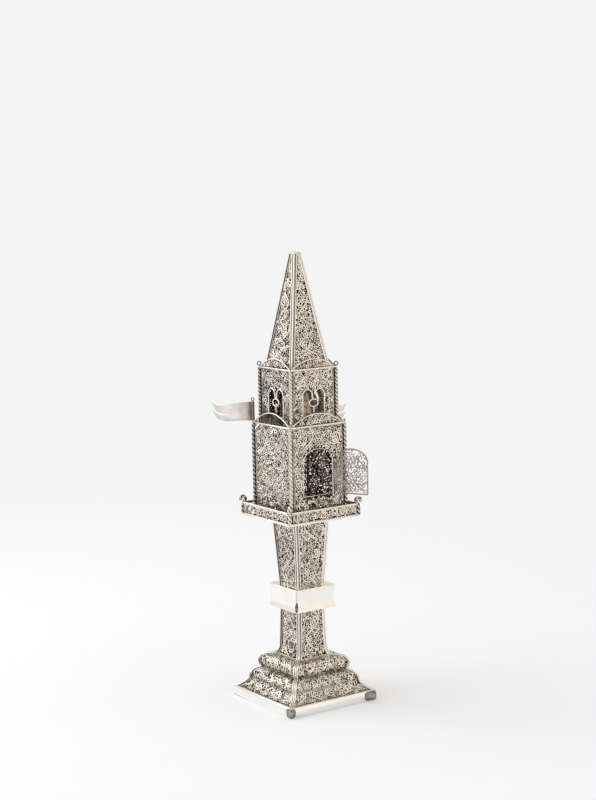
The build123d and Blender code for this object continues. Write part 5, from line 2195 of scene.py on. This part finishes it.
@dataclass(frozen=True)
class Studio:
    """A white sweep, a large soft key from the left, a weak warm fill from the right and the camera."""

    lamps: tuple[Lamp, ...] = (
        Lamp("key", (-0.78, 0.62, 0.80), 1.3, 7.0, (1.0, 0.99, 0.975)),
        Lamp("fill", (0.7, -1.0, 0.5), 1.8, 2.6, (1.0, 0.94, 0.86)),
    )
    aim: Triple = (0.0, 0.0, 0.12)
    backdrop: Triple = (0.91, 0.91, 0.91)
    left_glow: Triple = (1.0, 1.0, 1.03)
    right_glow: Triple = (0.78, 0.72, 0.64)
    glow: float = 0.9
    paper: Triple = (0.935, 0.96, 0.99)
    paper_fade: Pair = (0.18, 0.75)
    camera_place: Triple = (-488.28, -710.30, 268.25)
    azimuth: float = -34.50
    elevation: float = 7.44
    roll: float = -1.228
    focal_pixels: float = 1710.3
    frame_pixels: float = 800.0
    sensor: float = 36.0
    floor_half: float = 4000.0

    def camera(self) -> None:
        """Sets the camera where the photograph was taken from.

        Its axes are the view's right and up, turned by the roll.
        """
        a, e, r = (math.radians(value) for value in (self.azimuth, self.elevation, self.roll))
        back = Vector((math.sin(a) * math.cos(e), -math.cos(a) * math.cos(e), math.sin(e)))
        right = Vector((math.cos(a), math.sin(a), 0.0))
        up = back.cross(right)
        across = math.cos(r) * right + math.sin(r) * up
        upward = math.cos(r) * up - math.sin(r) * right
        lens = bpy.data.cameras.new("camera")
        lens.sensor_width = self.sensor
        lens.lens = self.sensor * self.focal_pixels / self.frame_pixels
        lens.clip_start, lens.clip_end = 0.05, 30.0
        made = bpy.data.objects.new("camera", lens)
        bpy.context.scene.collection.objects.link(made)
        turn = Matrix((across, upward, back)).transposed().to_4x4()
        made.matrix_world = Matrix.Translation(Vector(self.camera_place) * MM) @ turn
        bpy.context.scene.camera = made

    def light(self, lamp: Lamp) -> None:
        """Adds a lamp that faces the tower's middle.

        Args:
            lamp: The lamp.
        """
        light = bpy.data.lights.new(lamp.name, "AREA")
        light.size, light.energy, light.color = lamp.size, lamp.watts, lamp.colour
        made = bpy.data.objects.new(lamp.name, light)
        made.location = lamp.place
        made.rotation_euler = (Vector(lamp.place) - Vector(self.aim)).to_track_quat("Z", "Y").to_euler()
        bpy.context.scene.collection.objects.link(made)

    def world(self) -> None:
        """A white surround for the camera, a brighter left than right for reflections, and soft fill."""
        world = bpy.data.worlds.new("studio")
        bpy.context.scene.world = world
        world.use_nodes = True
        nodes, links = world.node_tree.nodes, world.node_tree.links
        seen = nodes["Background"]
        seen.inputs["Color"].default_value = (*self.backdrop, 1.0)
        path = nodes.new("ShaderNodeLightPath")
        place = nodes.new("ShaderNodeTexCoord")
        split = nodes.new("ShaderNodeSeparateXYZ")
        links.new(place.outputs["Generated"], split.inputs["Vector"])
        sweep_of_light = nodes.new("ShaderNodeValToRGB")
        ramp = sweep_of_light.color_ramp
        ramp.elements[0].position, ramp.elements[0].color = 0.0, (*self.left_glow, 1.0)
        ramp.elements[1].position, ramp.elements[1].color = 1.0, (*self.right_glow, 1.0)
        spread = map_range(nodes, (-0.9, 0.9))
        links.new(split.outputs["X"], spread.inputs["Value"])
        links.new(spread.outputs["Result"], sweep_of_light.inputs["Fac"])
        around = nodes.new("ShaderNodeBackground")
        around.inputs["Strength"].default_value = self.glow
        links.new(sweep_of_light.outputs["Color"], around.inputs["Color"])
        mix = nodes.new("ShaderNodeMixShader")
        links.new(path.outputs["Is Camera Ray"], mix.inputs["Fac"])
        links.new(around.outputs["Background"], mix.inputs[1])
        links.new(seen.outputs["Background"], mix.inputs[2])
        links.new(mix.outputs["Shader"], nodes["World Output"].inputs["Surface"])

    def floor(self) -> None:
        """A pale floor that keeps the shadow and fades into the surround."""
        reach = self.floor_half
        corners = [(-reach, -reach, 0.0), (reach, -reach, 0.0), (reach, reach, 0.0), (-reach, reach, 0.0)]
        data = bpy.data.meshes.new("floor")
        data.from_pydata((np.array(corners) * MM).tolist(), [], [(0, 1, 2, 3)])
        made = bpy.data.objects.new("floor", data)
        bpy.context.scene.collection.objects.link(made)
        paper = bpy.data.materials.new("paper")
        paper.use_nodes = True
        nodes, links = paper.node_tree.nodes, paper.node_tree.links
        shader = nodes["Principled BSDF"]
        shader.inputs["Base Color"].default_value = (*self.paper, 1.0)
        shader.inputs["Roughness"].default_value = 0.9
        shader.inputs["Specular IOR Level"].default_value = 0.0
        place = nodes.new("ShaderNodeTexCoord")
        distance = nodes.new("ShaderNodeVectorMath")
        distance.operation = "LENGTH"
        links.new(place.outputs["Object"], distance.inputs[0])
        fade = map_range(nodes, self.paper_fade)
        fade.interpolation_type = "SMOOTHSTEP"
        links.new(distance.outputs["Value"], fade.inputs["Value"])
        clear = nodes.new("ShaderNodeBsdfTransparent")
        mix = nodes.new("ShaderNodeMixShader")
        links.new(fade.outputs["Result"], mix.inputs["Fac"])
        links.new(shader.outputs["BSDF"], mix.inputs[1])
        links.new(clear.outputs["BSDF"], mix.inputs[2])
        links.new(mix.outputs["Shader"], nodes["Material Output"].inputs["Surface"])
        data.materials.append(paper)

    def build(self) -> None:
        """Sets the camera, the lamps, the surround and the floor."""
        self.camera()
        for lamp in self.lamps:
            self.light(lamp)
        self.world()
        self.floor()
        bpy.context.scene.view_settings.view_transform = "Standard"


def lower_stem_profile() -> Array:
    """The lower stem in (half, z): a flared foot that runs into a straight taper."""
    flare = bow((10.2, 23.4), (8.75, 29.0), 0.45, 9)
    return np.concatenate([flare[:-1], np.linspace((8.75, 29.0), (8.1, 50.0), 12)])


def main() -> None:
    """Builds the tower from its foot to its cap, then the studio."""
    logging.basicConfig(level=logging.INFO, format="%(name)s %(message)s")
    bench = Bench(frame)
    chamber = SpiceChamber()
    lower = Cornice(
        "tier_floor", "chamber_crests", half=16.6, chord=15.36, low=144.0, high=144.8, rise=5.9,
        overhang=0.75, seed=50, tarnish=0.7,
    )
    upper = Cornice(
        "roof_plate", "bell_chamber_crests", half=13.8, chord=12.66, low=172.4, high=173.2, rise=4.7,
        overhang=0.75, seed=55,
    )
    FootRim().build(bench)
    MouldedBase().build(bench)
    Stem("lower_stem", lower_stem_profile(), 30).build(bench)
    Knop().build(bench)
    Stem("upper_stem", np.linspace((8.3, 60.5), (10.5, 96.0), 12), 35).build(bench)
    Gallery().build(bench)
    chamber.build(bench)
    Door(chamber).build(bench)
    lower.build(bench)
    Pennants().build(bench)
    BellChamber().build(bench)
    Bell().build(bench)
    upper.build(bench)
    Spire().build(bench)
    Studio().build()


if __name__ == "__main__":
    main()
